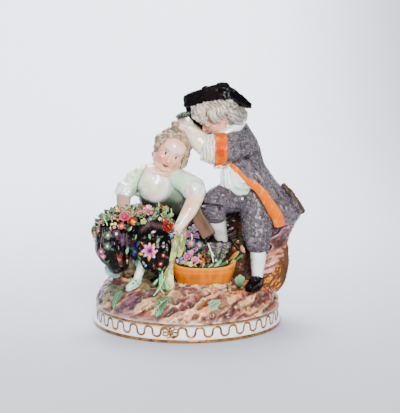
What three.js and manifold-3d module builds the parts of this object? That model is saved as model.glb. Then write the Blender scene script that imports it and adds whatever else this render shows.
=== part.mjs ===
// Porcelain group of two gardener children on a round rocky base, 147 mm high.
// A girl sits on a rock with her apron full of flowers, and a boy in a three-cornered hat leans over her,
// one foot raised, and sets a wreath in her hair. A tub of flowers stands between them.
// The group is fired as one body, so all of its forms are joined into one solid.
// Millimetres, +Z up, origin at the centre of the flat underside, and the group is seen looking along +Y.
import * as THREE from "three";
import { mergeVertices } from "three/addons/utils/BufferGeometryUtils.js";
import Module from "manifold-3d";

const wasm = await Module();
wasm.setup();

// Driving dimensions of the base.
const PLINTH = { foot: 57, band: 55.4, rim: 56, footTop: 1.8, bandTop: 9.4, top: 11.2, segments: 40 };
const GROUND = { rise: 15.2, shoulder: 9, roundness: 0.55, rings: [0.985, 0.95, 0.87, 0.72, 0.5] };
const BANKS = [
  // Where the rocky ground swells: place, reach along x and y, and height.
  { at: [-44, 4], reach: [9, 17], height: 5 },
  { at: [-24, 30], reach: [20, 14], height: 5 },
  { at: [34, 26], reach: [18, 16], height: 6 },
  { at: [45, -10], reach: [9, 10], height: -1.6 },
  { at: [-8, -38], reach: [16, 8], height: 1.6 },
];

// Joints of the two figures. R and L are the figure's own right and left.
const GIRL = {
  head: [-9, -12, 107.2],
  headTilt: 28,
  crown: [-7.8, -8, 121],
  neck: [-14, -10, 94],
  shoulderR: [-27, -8, 90.5],
  elbowR: [-37.5, -13, 83.5],
  handR: [-34, -24, 70],
  shoulderL: [1, -11, 87],
  elbowL: [6.5, -18, 83.5],
  wristL: [-5, -28, 64.5],
  handL: [-6, -31, 59.5],
  ankle: [-26.5, -29, 38],
  toe: [-34.5, -35, 28.5],
};
const BOY = {
  head: [19.5, 3, 127],
  neck: [28, 3, 118],
  shoulderL: [31, -7, 110],
  elbowL: [11, -13, 109],
  wristL: [0.5, -10, 118],
  handL: [-4, -8, 122.5],
  shoulderR: [27, 12, 111],
  elbowR: [13, 15, 108],
  wristR: [1, 5, 119],
  handR: [-3.5, -1, 124.5],
  hipL: [40, 0, 77],
  kneeL: [42, -9, 57],
  ankleL: [42, -16, 30],
  toeL: [39, -26.5, 26.6],
  hipR: [32, 0, 78],
  kneeR: [16.6, -12, 75.2],
  ankleR: [21, -5, 51],
  toeR: [14.5, -13, 46.5],
};
const HAT = {
  centre: [20, 5],
  corners: [[-1.2, 1], [37.6, -3], [33, 21]],
  middles: [[19.5, -10.5], [40, 9], [13, 20]],
  brim: 130.3,
  arch: 7.8,
  flap: 5.6,
  cock: 1.8,
  wall: 2.4,
};
const TUB = { at: [9.8, -16], foot: [15.5, 9.5], mouth: [19.8, 12], bottom: 26.5, rim: 38.4, horn: 6.5, segments: 16 };

// A closed geometry as a solid.
function solid(geometry) {
  const bare = geometry.index ? geometry.toNonIndexed() : geometry.clone();
  for (const name of Object.keys(bare.attributes)) {
    if (name !== "position") bare.deleteAttribute(name);
  }
  const merged = mergeVertices(bare, 1e-3);
  return new wasm.Manifold(
    new wasm.Mesh({
      numProp: 3,
      vertProperties: new Float32Array(merged.attributes.position.array),
      triVerts: new Uint32Array(merged.index.array),
    }),
  );
}

// A closed skin over rings of points, with a pole point at each end.
function skin(rings, firstPole, lastPole) {
  const points = [firstPole, ...rings.flat(), lastPole];
  const sides = rings[0].length;
  const last = points.length - 1;
  const faces = [];
  for (let j = 0; j < sides; j++) {
    const next = (j + 1) % sides;
    faces.push(0, 1 + next, 1 + j);
    for (let i = 0; i < rings.length - 1; i++) {
      const a = 1 + i * sides;
      const b = a + sides;
      faces.push(a + j, a + next, b + next, a + j, b + next, b + j);
    }
    const end = 1 + (rings.length - 1) * sides;
    faces.push(end + j, end + next, last);
  }
  const geometry = new THREE.BufferGeometry().setFromPoints(points);
  geometry.setIndex(faces);
  return solid(geometry);
}

// An egg-shaped lump with its three half sizes, turned by degrees about x, y and z.
function ball(at, radii, turn = [0, 0, 0], sides = 6) {
  const geometry = new THREE.SphereGeometry(1, sides, Math.ceil(sides * 0.6));
  geometry.rotateX(Math.PI / 2).scale(...radii);
  const angles = turn.map(THREE.MathUtils.degToRad);
  geometry.applyMatrix4(new THREE.Matrix4().makeRotationFromEuler(new THREE.Euler(...angles, "XYZ")));
  return solid(geometry.translate(...at));
}

// A limb through joints, with a half width at each. A pair is the half width along `flat`, and across it.
function limb(joints, widths, { sides = 7, steps = 1, flat = [0, 0, 1] } = {}) {
  const curve = new THREE.CatmullRomCurve3(joints.map((p) => new THREE.Vector3(...p)));
  const wide = widths.map((w) => (Array.isArray(w) ? w : [w, w]));
  const count = (joints.length - 1) * steps;
  const rings = [];
  for (let i = 0; i <= count; i++) {
    const k = Math.min(Math.floor(i / steps), joints.length - 2);
    const [a, b] = [0, 1].map((n) => THREE.MathUtils.lerp(wide[k][n], wide[k + 1][n], i / steps - k));
    const tangent = curve.getTangent(i / count);
    const across = new THREE.Vector3().crossVectors(tangent, new THREE.Vector3(...flat)).normalize();
    const lengthwise = new THREE.Vector3().crossVectors(across, tangent).normalize();
    rings.push(
      Array.from({ length: sides }, (_, j) => {
        const angle = (2 * Math.PI * (j + 0.5)) / sides;
        return curve
          .getPoint(i / count)
          .addScaledVector(lengthwise, a * Math.cos(angle))
          .addScaledVector(across, b * Math.sin(angle));
      }),
    );
  }
  const pole = (share, reach) => curve.getPoint(share).addScaledVector(curve.getTangent(share), reach);
  return skin(rings, pole(0, -0.6 * Math.min(...wide[0])), pole(1, 0.6 * Math.min(...wide[wide.length - 1])));
}

// A body built up of level ovals: [x, y, z, half width, half depth]. Folds ripple its outline.
function stack(ovals, { sides = 10, folds = 0, depth = 0 } = {}) {
  const rings = ovals.map(([x, y, z, a, b], level) =>
    Array.from({ length: sides }, (_, j) => {
      const angle = (2 * Math.PI * j) / sides;
      const swell = 1 + (depth * level * Math.cos(folds * angle)) / (ovals.length - 1);
      return new THREE.Vector3(x + a * swell * Math.cos(angle), y + b * swell * Math.sin(angle), z);
    }),
  );
  const upwards = ovals[0][2] < ovals[ovals.length - 1][2];
  if (!upwards) {
    ovals.reverse();
    rings.reverse();
  }
  const middle = ([x, y, z]) => new THREE.Vector3(x, y, z);
  return skin(rings, middle(ovals[0]), middle(ovals[ovals.length - 1]));
}

// A small flower: a cupped star of petals, facing along `facing`.
function blossom(at, facing, radius, petals = 4) {
  const up = new THREE.Vector3(0, 0, 1);
  const turn = new THREE.Quaternion().setFromUnitVectors(up, new THREE.Vector3(...facing).normalize());
  const place = (x, y, z) => new THREE.Vector3(x, y, z).applyQuaternion(turn).add(new THREE.Vector3(...at));
  const edge = Array.from({ length: petals * 2 }, (_, j) => {
    const angle = (Math.PI * j) / petals;
    const r = radius * (j % 2 ? 0.62 : 1);
    return place(r * Math.cos(angle), r * Math.sin(angle), radius * 0.2);
  });
  return skin([edge], place(0, 0, -radius), place(0, 0, radius * 0.35));
}

// A leaf lying along a line, with its half width.
function leaf(from, to, width, thickness = 0.9) {
  const middle = from.map((v, i) => (v + to[i]) / 2);
  const widths = [[thickness, width * 0.3], [thickness * 1.3, width], [thickness * 0.6, width * 0.2]];
  return limb([from, middle, to], widths, { sides: 5 });
}

// The rocky ground's height above the plinth's underside.
function groundHeight(x, y) {
  const share = Math.min(Math.hypot(x, y) / PLINTH.rim, 1);
  const dome = Math.pow(1 - Math.pow(share, GROUND.shoulder), GROUND.roundness);
  let height = PLINTH.top + GROUND.rise * dome;
  for (const bank of BANKS) {
    const u = (x - bank.at[0]) / bank.reach[0];
    const v = (y - bank.at[1]) / bank.reach[1];
    height += bank.height * dome * Math.exp(-u * u - v * v);
  }
  const crags = Math.sin(x * 0.31 + y * 0.17 + 1) * Math.sin(y * 0.36 - x * 0.12);
  return height + 0.8 * dome * (crags + 0.6 * Math.sin(x * 0.62 - y * 0.4));
}

// Plinth with its foot and rim mouldings, and the rocky ground on it.
function base() {
  const around = Array.from({ length: PLINTH.segments }, (_, j) => (2 * Math.PI * j) / PLINTH.segments);
  const level = (r, z) => around.map((a) => new THREE.Vector3(r * Math.cos(a), r * Math.sin(a), z));
  const rings = [
    level(PLINTH.foot, 0),
    level(PLINTH.foot, PLINTH.footTop),
    level(PLINTH.band, PLINTH.footTop + 0.8),
    level(PLINTH.band, PLINTH.bandTop),
    level(PLINTH.rim, PLINTH.bandTop + 0.6),
    level(PLINTH.rim, PLINTH.top),
    ...GROUND.rings.map((share) =>
      around.map((a) => {
        const [x, y] = [PLINTH.rim * share * Math.cos(a), PLINTH.rim * share * Math.sin(a)];
        return new THREE.Vector3(x, y, groundHeight(x, y));
      }),
    ),
  ];
  return [skin(rings, new THREE.Vector3(0, 0, 0), new THREE.Vector3(0, 0, groundHeight(0, 0)))];
}

// The rock that the girl sits on, the crag behind the boy, the tree trunk beside it and the post by the tub.
function rocks() {
  const post = new THREE.BoxGeometry(9, 6, 26);
  post.rotateX(-0.3).rotateY(-0.52).translate(9.5, -8.5, 60);
  const crag = [
    [38, 16, 14, 14, 18],
    [41, 15, 30, 15, 18],
    [44, 14, 42, 15, 16],
    [50, 12, 50, 13, 14],
    [52.5, 10, 58, 13, 13],
    [53, 10, 62, 10, 10],
  ];
  return [
    ball([-20, 6, 38], [23, 19, 22], [0, 0, 15], 8),
    ball([4, 7, 46], [16, 13, 24], [0, 0, 0], 7),
    ball([28, 9, 44], [14, 9, 20], [0, 0, 30], 7),
    stack(crag, { sides: 9, folds: 4, depth: 0.06 }),
    limb([[50, 4, 17], [56, 4, 26], [58.6, 5, 37], [57.5, 6, 50]], [5, 4.6, 4, 4], { sides: 6 }),
    limb([[20, -3, 30], [20, -4, 46]], [10, 9], { sides: 6 }),
    solid(post),
  ];
}

// The oval wooden tub with its horned ends, filled to the brim.
function tub() {
  const around = Array.from({ length: TUB.segments }, (_, j) => (2 * Math.PI * j) / TUB.segments);
  const level = (size, height) =>
    around.map((a) => {
      const horn = TUB.horn * Math.pow(Math.abs(Math.cos(a)), 6);
      return new THREE.Vector3(TUB.at[0] + size[0] * Math.cos(a), TUB.at[1] + size[1] * Math.sin(a), height(horn));
    });
  const inner = TUB.mouth.map((s) => s - 1.6);
  const rings = [
    level(TUB.foot, () => TUB.bottom - 3),
    level(TUB.foot, () => TUB.bottom + 1),
    level(TUB.mouth, (horn) => TUB.rim + horn),
    level(inner, (horn) => TUB.rim + horn),
    level(inner.map((s) => s - 1), () => TUB.rim - 2),
  ];
  return [
    skin(rings, new THREE.Vector3(...TUB.at, TUB.bottom - 3), new THREE.Vector3(...TUB.at, TUB.rim - 2)),
    ball([7.5, -14, 40], [15, 9, 8], [0, 0, 0], 7),
    ball([6, -11, 48], [7.5, 7, 8], [0, 0, 0], 6),
    ball([20.5, -11, 44], [8, 6, 6.5], [0, 0, 0], 6),
  ];
}

// The seated girl: head and hair, bodice, arms, skirt with its folds, apron and foot.
function girl() {
  const g = GIRL;
  const tilt = [0, g.headTilt, 0];
  const bodice = [
    [-18, 0, 60, 13, 10],
    [-18, -3, 70, 11, 8.5],
    [-18.5, -7, 77, 12, 9.5],
    [-18.5, -8, 84, 14.5, 10],
    [-16, -8.5, 90.5, 14.5, 8.5],
    [-14.5, -9.5, 95.5, 9, 6.5],
  ];
  const body = [
    ball(g.head, [10.6, 11, 12.4], tilt, 9),
    ball([g.head[0] + 1.4, g.head[1] + 2.6, g.head[2] + 1.4], [11.4, 10.5, 11.4], tilt, 8),
    limb([g.neck, [-12, -10, 98]], [5.4, 5]),
    stack(bodice),
    ball([-20.5, -12.5, 81], [9.4, 6, 8], [0, -8, 0], 7),
    limb([g.shoulderR, [-33, -10, 88], g.elbowR], [7.4, 7.4, 6.2]),
    limb([g.elbowR, [-38, -19, 76], g.handR], [5, 4.6, 3.6], { sides: 6 }),
    limb([g.shoulderL, [4.5, -14.5, 85], g.elbowL], [7, 7.6, 7]),
    limb([[6.5, -19, 81], [1, -24, 72], g.wristL, g.handL], [5.4, 5, 3.8, 3.6]),
  ];
  const hair = [ball(g.crown, [3, 3, 3.2]), limb([[-7, -8, 114], g.crown], [3, 1.8], { sides: 5 })];
  for (const side of [-1, 1]) {
    // Rolls of hair down each side of the face.
    for (let k = 0; k < 4; k++) {
      const angle = THREE.MathUtils.degToRad(g.headTilt + side * (70 + 18 * k));
      const at = [g.head[0] + 10.8 * Math.sin(angle), g.head[1] - 3.5 + 1.4 * k, g.head[2] + 10.8 * Math.cos(angle)];
      hair.push(ball(at, [3, 4.2, 3.4], [0, 0, 0], 5));
    }
  }
  const level = { flat: [0, 1, 0] };
  const back = [
    [-18, 0, 70, 11, 9],
    [-19, 5, 60, 19, 16],
    [-19, 9, 48, 23, 20],
    [-19, 11, 36, 24, 22],
    [-19, 12, 26, 25, 24],
  ];
  const lobeR = limb(
    [[-38, -8, 66], [-42.5, -15, 58], [-43.5, -18, 48], [-42, -20, 40]],
    [[8, 9], [12, 12.4], [12, 12], [8, 7]],
    { ...level, sides: 9 },
  );
  const lobeL = limb(
    [[-21, -16, 66], [-21.5, -26, 59], [-20.5, -31, 49], [-17, -34, 40], [-15.8, -35.5, 35]],
    [[9, 9], [9, 11.4], [9, 11.6], [6, 7], [2, 2]],
    { ...level, sides: 9 },
  );
  const lap = limb([[-44, -8, 62], [-30, -12, 64], [-14, -12, 63]], [[12, 7], [14, 7], [11, 6]], level);
  const folds = [
    [[-33, -22, 64], [-33, -29, 54], [-31, -28, 43]],
    [[-14, -30, 62], [-12, -35, 51], [-14, -36, 40]],
    [[-25, -34, 62], [-28, -39, 50], [-23, -37, 41]],
    [[-50, -24, 60], [-51, -27, 50], [-46, -27, 42]],
    [[-41, -27, 58], [-40, -31, 49], [-38, -29, 41]],
  ].map((line) => limb(line, [1.6, 2.4, 1.6], { sides: 4 }));
  const apron = [
    limb([[-50, -15, 62], [-41, -21, 67], [-28, -23, 69], [-13, -23, 65]], [5, 6, 6, 5], { sides: 6 }),
    limb([[-5, -29, 61], [-7.5, -32, 48], [-9.6, -33, 38], [-10, -33, 28]], [[2, 2.4], [2.6, 3.6], [2.6, 4.4], [2, 3.2]], {
      ...level,
      sides: 6,
    }),
  ];
  const foot = [
    limb([[-23, -26, 46], g.ankle, [-28.5, -31, 33.5]], [5, 4.3, 3.9], { sides: 6 }),
    limb([[-27, -29, 32], [-31, -32.5, 30], g.toe], [4, 4.2, 3], { sides: 6 }),
  ];
  const skirt = [stack(back, { sides: 12, folds: 6, depth: 0.08 }), lobeR, lobeL, lap];
  return [...body, ...hair, ...skirt, ...folds, ...apron, ...foot];
}

// The curls of the boy's wig, in rows around the back and sides of his head.
function wig() {
  const curls = [];
  const face = new THREE.Vector3(-0.83, -0.05, -0.55);
  for (const [row, count] of [[102, 8], [70, 7]]) {
    for (let k = 0; k < count; k++) {
      const down = THREE.MathUtils.degToRad(row);
      const round = (2 * Math.PI * (k + (row % 4) / 4)) / count;
      const out = [Math.sin(down) * Math.cos(round), Math.sin(down) * Math.sin(round), Math.cos(down)];
      if (new THREE.Vector3(...out).dot(face) > 0.5) continue;
      const at = BOY.head.map((v, n) => v + out[n] * [13.4, 12, 11][n] + (n ? 0 : 0.8));
      curls.push(ball(at, [4.4, 4.2, 3.8], [25 * k, 17 * k, 0]));
    }
  }
  return [ball([21, 3.5, 127.5], [13, 12, 12], [0, 0, 0], 7), ...curls];
}

// The three-cornered hat: crown, and a brim that is turned up between its corners.
function hat() {
  const perSide = 6;
  const h = HAT;
  const ring = (lower, inward) => {
    const points = [];
    for (let k = 0; k < 3; k++) {
      const [a, b, mid] = [h.corners[k], h.corners[(k + 1) % 3], h.middles[k]];
      for (let i = 0; i < perSide; i++) {
        const s = i / perSide;
        const lift = Math.pow(Math.sin(Math.PI * s), 0.8);
        const flat = [0, 1].map((n) => {
          const pull = 2 * mid[n] - (a[n] + b[n]) / 2;
          return (1 - s) ** 2 * a[n] + 2 * s * (1 - s) * pull + s * s * b[n] - h.centre[n];
        });
        const inset = 1 - (inward + (lower ? 0 : 1.6 * lift)) / Math.hypot(...flat);
        const z = h.brim + h.arch * lift + (lower ? 0 : h.flap + h.cock * lift);
        points.push(new THREE.Vector3(h.centre[0] + flat[0] * inset, h.centre[1] + flat[1] * inset, z));
      }
    }
    return points;
  };
  const rings = [ring(true, h.wall), ring(true, 0), ring(false, 0), ring(false, h.wall)];
  return [
    skin(rings, new THREE.Vector3(...h.centre, h.brim + 3), new THREE.Vector3(...h.centre, h.brim + 7)),
    ball([22, 5, 136.5], [13, 11.5, 8], [0, 0, 0], 7),
    limb([[0.5, 4, 130], [5, 8, 123], [9.5, 10, 117]], [[2, 3], [2, 4], [1.4, 2.5]], { sides: 5 }),
    ball([23, -6, 144.6], [4, 2.6, 2.4], [0, 5, 0]),
    ball([11.5, -6, 142], [2.4, 2.2, 2], [0, 0, 0], 5),
  ];
}

// The boy: head, neckcloth, coat with its skirts and lapel, both arms, breeches, stockings and shoes.
function boy() {
  const b = BOY;
  const coat = [
    [59, 7, 61.5, 8, 14],
    [58.5, 7, 67, 11.8, 16],
    [52, 6, 75, 13, 14.5],
    [45, 5, 82, 13.4, 13.5],
    [39, 4, 89, 13, 12.5],
    [34.5, 4, 97, 12, 12.5],
    [33, 4, 105, 11.8, 13],
    [32, 3.5, 112, 10, 12],
    [31.5, 3, 118, 6.5, 8],
    [31, 3, 121, 4, 5],
  ];
  const slope = [1, 0, 1];
  const torso = [
    ball(b.head, [12.2, 11.2, 11.6], [0, -33, 0], 9),
    ball([9.5, 2, 120.5], [5, 7, 6], [0, -33, 0], 6),
    limb([[30, 3, 115], b.neck, [22, 3, 121]], [8, 7.5, 7]),
    stack(coat),
    ball([37, 1, 79], [12, 10.5, 9], [0, 0, 0], 7),
    ball([30, -5, 86.5], [10, 8, 11.5], [0, 0, 0], 8),
    ball([27, -3, 96], [6.4, 9, 8]),
  ];
  const trim = [
    limb([[62, 1, 80], [67, 3, 72], [70, 5, 66]], [[2, 3], [2, 4], [1.6, 3.4]], { sides: 5, flat: slope }),
    limb(
      [[27, -10.5, 97.5], [36, -13, 91.5], [43.5, -14, 84], [50, -13, 73.5], [55, -11, 63]],
      [[1.6, 1.4], [2.8, 1.8], [3.8, 2], [4, 2], [4.2, 2]],
      { sides: 6, flat: [1, -0.2, 1] },
    ),
  ];
  const arms = [
    limb([b.shoulderL, [25, -12, 108.5], [19, -13.5, 107.6]], [8.6, 8.8, 9], { sides: 8 }),
    limb([[23.4, -13.5, 107.4], [16.4, -14, 107.6]], [9.6, 10], { sides: 9 }),
    limb([[17, -14, 107.6], [10.4, -14, 108.4]], [8.6, 7.6], { sides: 8 }),
    limb([b.elbowL, [6, -12, 114], b.wristL, b.handL], [6.4, 5.8, 4.6, 4.4], { sides: 6 }),
    limb([b.shoulderR, [20, 15, 109.5], b.elbowR], [8.4, 8, 7.6], { sides: 6 }),
    limb([[16, 15.5, 108.5], [10.5, 14, 110]], [9, 9.4], { sides: 6 }),
    limb([b.elbowR, [6, 11, 113.5], b.wristR, b.handR], [6, 5.4, 4.4, 4], { sides: 5 }),
  ];
  const legs = [
    limb([b.hipL, [42, -4, 68], b.kneeL, [42.6, -14, 47]], [11, 10.2, 9.4, 7], { sides: 8 }),
    limb([[42.8, -14, 48], [42.6, -15, 40], b.ankleL], [5.4, 4.8, 3.4], { sides: 6 }),
    limb([[42.5, -15, 28.5], [41, -21, 28], b.toeL], [4.2, 4.8, 4], { sides: 6 }),
    limb([b.hipR, [24, -7, 77.5], b.kneeR, [17, -12, 67.5]], [10, 9.4, 8.6, 7], { sides: 8 }),
    limb([[17, -12, 69], [18.5, -9, 60], b.ankleR], [6, 5.4, 3.8], { sides: 6 }),
    limb([[25.5, -1.5, 47.5], [20, -7, 47.5], b.toeR], [4, 4.6, 3.6], { sides: 6 }),
  ];
  return [...torso, ...trim, ...arms, ...legs, ...wig(), ...hat()];
}

// Flowers and leaves: in the apron, in the tub, in the wreath and on the ground.
function planting() {
  const made = [];
  // Apron flowers lie in a garland over the girl's lap.
  const route = [[-53, -15, 57], [-49.5, -17, 65], [-40, -24, 70.5], [-27, -26, 72], [-12, -26, 67]];
  const garland = new THREE.CatmullRomCurve3(route.map((p) => new THREE.Vector3(...p)));
  for (let k = 0; k < 15; k++) {
    const p = garland.getPoint(k / 14);
    const row = k % 2;
    const at = [p.x, p.y + (row ? 1 : -2.2), p.z + (row ? 2 : -1.6)];
    made.push(blossom(at, [at[0] - p.x - 1, at[1] - p.y - 8, at[2] - p.z + 6], 3.7 + 0.7 * Math.sin(2.4 * k)));
  }
  // Tub flowers cover the mounds above its rim: place, reach and number.
  for (const [centre, reach, count] of [
    [[1, -15, 39], 8, 4],
    [[13, -16, 39], 8, 4],
    [[6, -11, 48], 7.2, 6],
    [[20.5, -11.5, 44], 7, 4],
  ]) {
    for (let k = 0; k < count; k++) {
      const round = (2 * Math.PI * k) / count + centre[0];
      const up = 0.35 + 0.25 * ((k * 7) % 3);
      const out = [Math.cos(round) * Math.cos(up), Math.sin(round) * Math.cos(up) * 0.8, Math.sin(up) + 0.2];
      made.push(blossom(centre.map((v, i) => v + out[i] * reach), out, 3.6 + 0.4 * Math.sin(k * 1.7)));
    }
  }
  // The wreath in the boy's hands.
  for (let k = 0; k < 5; k++) {
    const a = (2 * Math.PI * k) / 5;
    const at = [-4 + 3 * Math.cos(a), -4.5 + 3.4 * Math.sin(a), 125.6 + 1.2 * Math.cos(a)];
    made.push(ball(at, [2.4, 2.4, 1.8], [0, 0, 0], 5));
  }
  // Leaves on the ground: stalk end, tip and half width.
  const onGround = (x, y) => [x, y, groundHeight(x, y) + 0.4];
  for (const [from, to, width] of [
    [[-17, -40], [-13, -53], 3],
    [[-14, -36], [-19, -47], 2.6],
    [[-40, -34], [-44, -30], 3],
    [[32, -26], [31, -36], 3.2],
    [[30, 44], [20, 48], 3],
    [[-34, 42], [-26, 46], 3],
  ]) {
    made.push(leaf(onGround(...from), onGround(...to), width));
  }
  made.push(leaf([-16, -35, 36], [-18, -44, 25], 2.4, 1.4));
  return made;
}

// All the forms as one fired body.
function group() {
  const forms = [...base(), ...rocks(), ...tub(), ...girl(), ...boy(), ...planting()];
  // Slivers under 0.3 mm go, and so do small hollows sealed between the forms: only the outer shell is kept.
  const shells = wasm.Manifold.union(forms).simplify(0.3).decompose();
  const outer = shells.reduce((best, shell) => (shell.volume() > best.volume() ? shell : best));
  const mesh = outer.getMesh();
  const geometry = new THREE.BufferGeometry();
  geometry.setAttribute("position", new THREE.BufferAttribute(new Float32Array(mesh.vertProperties), 3));
  geometry.setIndex(new THREE.BufferAttribute(new Uint32Array(mesh.triVerts), 1));
  return geometry;
}

const porcelain = new THREE.MeshStandardMaterial({ color: 0xf2efe8, roughness: 0.15, metalness: 0 });
const figures = new THREE.Mesh(group(), porcelain);
figures.name = "figure_group";
const part = new THREE.Group();
part.add(figures);

export default part;
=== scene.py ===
"""A painted porcelain group of two gardener children, dressed for a studio photograph.

A girl sits on a rock with her black flowered skirt full of blossoms. A boy in a cocked hat leans over
her, one foot raised, and crowns her with a wreath. A wooden tub of flowers stands between them on a
rocky mound, and a gilt serpentine runs round the plinth. The real thing is fired as one body, so every
piece here rides on the root and stands for the one node of the frame.

All sizes are in millimetres in the frame of the group: +Z up, seen along +Y, the girl towards -X.
"""

import logging
import math
from contextlib import contextmanager
from dataclasses import dataclass, field
from enum import Enum
from typing import Iterator

import bpy
import numpy as np
from mathutils import Matrix, Vector


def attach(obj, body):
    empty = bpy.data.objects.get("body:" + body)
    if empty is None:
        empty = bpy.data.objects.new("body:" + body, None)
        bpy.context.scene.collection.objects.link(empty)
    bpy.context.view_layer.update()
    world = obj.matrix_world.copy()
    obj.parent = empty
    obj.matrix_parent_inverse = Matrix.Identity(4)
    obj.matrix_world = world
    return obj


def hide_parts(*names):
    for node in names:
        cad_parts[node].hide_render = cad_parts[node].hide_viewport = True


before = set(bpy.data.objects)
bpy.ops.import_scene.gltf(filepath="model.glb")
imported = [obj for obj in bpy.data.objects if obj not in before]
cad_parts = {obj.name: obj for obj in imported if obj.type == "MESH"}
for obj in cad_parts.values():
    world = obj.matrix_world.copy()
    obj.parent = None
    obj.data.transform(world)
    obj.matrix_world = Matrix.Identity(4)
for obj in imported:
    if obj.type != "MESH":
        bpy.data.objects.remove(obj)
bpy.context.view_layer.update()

MM = 0.001
NODE = "figure_group"
log = logging.getLogger("figure_group")

Point = tuple[float, float, float]
Colour = tuple[float, float, float]
Piece = bpy.types.Object
Socket = bpy.types.NodeSocket
Array = np.ndarray

# The renderer's view: its middle grey and its slope, and how far it greys a colour and its light.
MIDDLE, SLOPE, GREYED, GREYED_LIGHT = 0.0844, 1.2144, 0.327, 0.283
# A random field: its octaves, the waves in each, how they fade, and what brings the sum down to about 1.
OCTAVES, WAVES, FADE, EXTENT = 3, 6, 0.55, 3.4
# How finely a ball of clay is cut up before it is pressed.
BALL_SEGMENTS, BALL_RINGS = 20, 12
# How many passes even a surface out before its hollows are measured.
HOLLOW_PASSES = 6


def tint(red: int, green: int, blue: int) -> Colour:
    """Turn a colour as it is to look, 0 to 255, into its pigment's linear colour."""
    seen = np.clip(np.array([red, green, blue]) / 255, 0.02, 0.985)
    seen = seen + GREYED * (seen.mean() - seen)
    light = MIDDLE * (seen / (1 - seen)) ** SLOPE
    return tuple(np.clip(light + GREYED_LIGHT * (light - light.mean()), 0.002, 0.9).tolist())


WHITE = tint(242, 239, 228)
MINT = tint(205, 222, 208)
CREAM = tint(236, 222, 196)
FLESH_PINK = tint(236, 206, 190)
BLUSH = tint(228, 128, 104)
ROSE = tint(222, 92, 128)
PINK = tint(238, 168, 196)
MAUVE = tint(150, 92, 138)
VIOLET = tint(122, 90, 140)
BLUE = tint(62, 86, 168)
PALE_BLUE = tint(150, 172, 206)
SCARLET = tint(206, 52, 30)
RUST = tint(164, 84, 56)
SALMON = tint(214, 150, 122)
YELLOW = tint(240, 204, 90)
LEAF = tint(84, 160, 92)
DEEP_LEAF = tint(36, 86, 50)
PALE_LEAF = tint(168, 208, 158)
BROWN = tint(112, 62, 32)
# These three are pigments as they are: the view can't show them stronger or darker.
ORANGE = (0.64, 0.07, 0.0004)
OCHRE = (0.66, 0.16, 0.0015)
BLACK = (0.003, 0.0025, 0.003)


def pick(*pieces: Piece) -> None:
    """Select these pieces and nothing else, the first of them active."""
    bpy.ops.object.select_all(action="DESELECT")
    for piece in pieces:
        piece.select_set(True)
    bpy.context.view_layer.objects.active = pieces[0]


@contextmanager
def editing(piece: Piece, action: str = "SELECT") -> Iterator[None]:
    """Hold a piece in edit mode, with all of it selected, or with DESELECT none of it."""
    pick(piece)
    bpy.ops.object.mode_set(mode="EDIT")
    bpy.ops.mesh.select_all(action=action)
    yield
    bpy.ops.object.mode_set(mode="OBJECT")


def finish_with(piece: Piece, kind: str, **settings: object) -> None:
    """Add a modifier of Blender's kind to a piece, set it, and apply it."""
    pick(piece)
    modifier = piece.modifiers.new(kind.lower(), kind)
    for name, value in settings.items():
        setattr(modifier, name, value)
    bpy.ops.object.modifier_apply(modifier=modifier.name)


def rows_of(piece: Piece, name: str) -> Array:
    """Return what each of a piece's points carries under a name, one row each."""
    flat = np.empty(len(piece.data.vertices) * 3, np.float32)
    piece.data.vertices.foreach_get(name, flat)
    return flat.reshape(-1, 3).astype(float)


def points_of(piece: Piece) -> Array:
    """Return a piece's points in millimetres, one row each."""
    return rows_of(piece, "co") / MM


def put_points(piece: Piece, points: Array) -> None:
    """Move a piece's points to these places, in millimetres."""
    piece.data.vertices.foreach_set("co", (points * MM).astype(np.float32).ravel())
    piece.data.update()


def settled(points: Array, piece: Piece, passes: int) -> Array:
    """Return a piece's points after each took the mean of its neighbours, some passes over."""
    ends = np.empty(len(piece.data.edges) * 2, np.int32)
    piece.data.edges.foreach_get("vertices", ends)
    one, other = ends.reshape(-1, 2).T
    count = np.bincount(one, minlength=len(points)) + np.bincount(other, minlength=len(points))
    for _ in range(passes):
        columns = []
        for column in points.T:
            total = (
                np.bincount(one, column[other], len(points)) + np.bincount(other, column[one], len(points))
            )
            columns.append(total / np.maximum(count, 1))
        points = np.stack(columns, 1)
    return points


def cloud(points: Array, size: float, seed: int, stretch: Point = (1, 1, 1)) -> Array:
    """Return a smooth random field over points, from about -1 to 1.

    Args:
        points: Places in millimetres.
        size: How far apart the field's swells are.
        seed: Chooses one field out of many.
        stretch: How much longer the swells are along x, y and z.

    Returns:
        One value for each point.
    """
    rng = np.random.default_rng(seed)
    places = points / np.array(stretch)
    total = np.zeros(len(points))
    for octave in range(OCTAVES):
        for _ in range(WAVES):
            way = rng.normal(size=3)
            way *= 2 * math.pi / size * 2**octave * rng.uniform(0.7, 1.3) / np.linalg.norm(way)
            total += np.sin(places @ way + rng.uniform(0, 2 * math.pi)) * FADE**octave
    return total / EXTENT


def soft_step(values: Array, low: float, high: float) -> Array:
    """Return 0 below low and 1 above high, with a soft slope between."""
    share = np.clip((values - low) / (high - low), 0, 1)
    return share * share * (3 - 2 * share)


def bump(*offsets: Array) -> Array:
    """Return 1 where every offset is 0, falling softly away as they pass 1."""
    return np.exp(-sum(offset * offset for offset in offsets))


def blend(base: Array, over: Colour, mask: Array) -> Array:
    """Lay a colour over others where a mask is 1."""
    return base + (np.array(over) - base) * np.clip(mask, 0, 1)[:, None]


def shaded(colour: Colour, share: float, lift: float = 0.0) -> Colour:
    """Return a share of a colour, lifted towards white and kept from passing it."""
    return tuple(min(1, lift + share * value) for value in colour)


def circle(count: int) -> Array:
    """Return the angles of equal steps once round, in radians."""
    return 2 * math.pi * np.arange(count) / count


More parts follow.
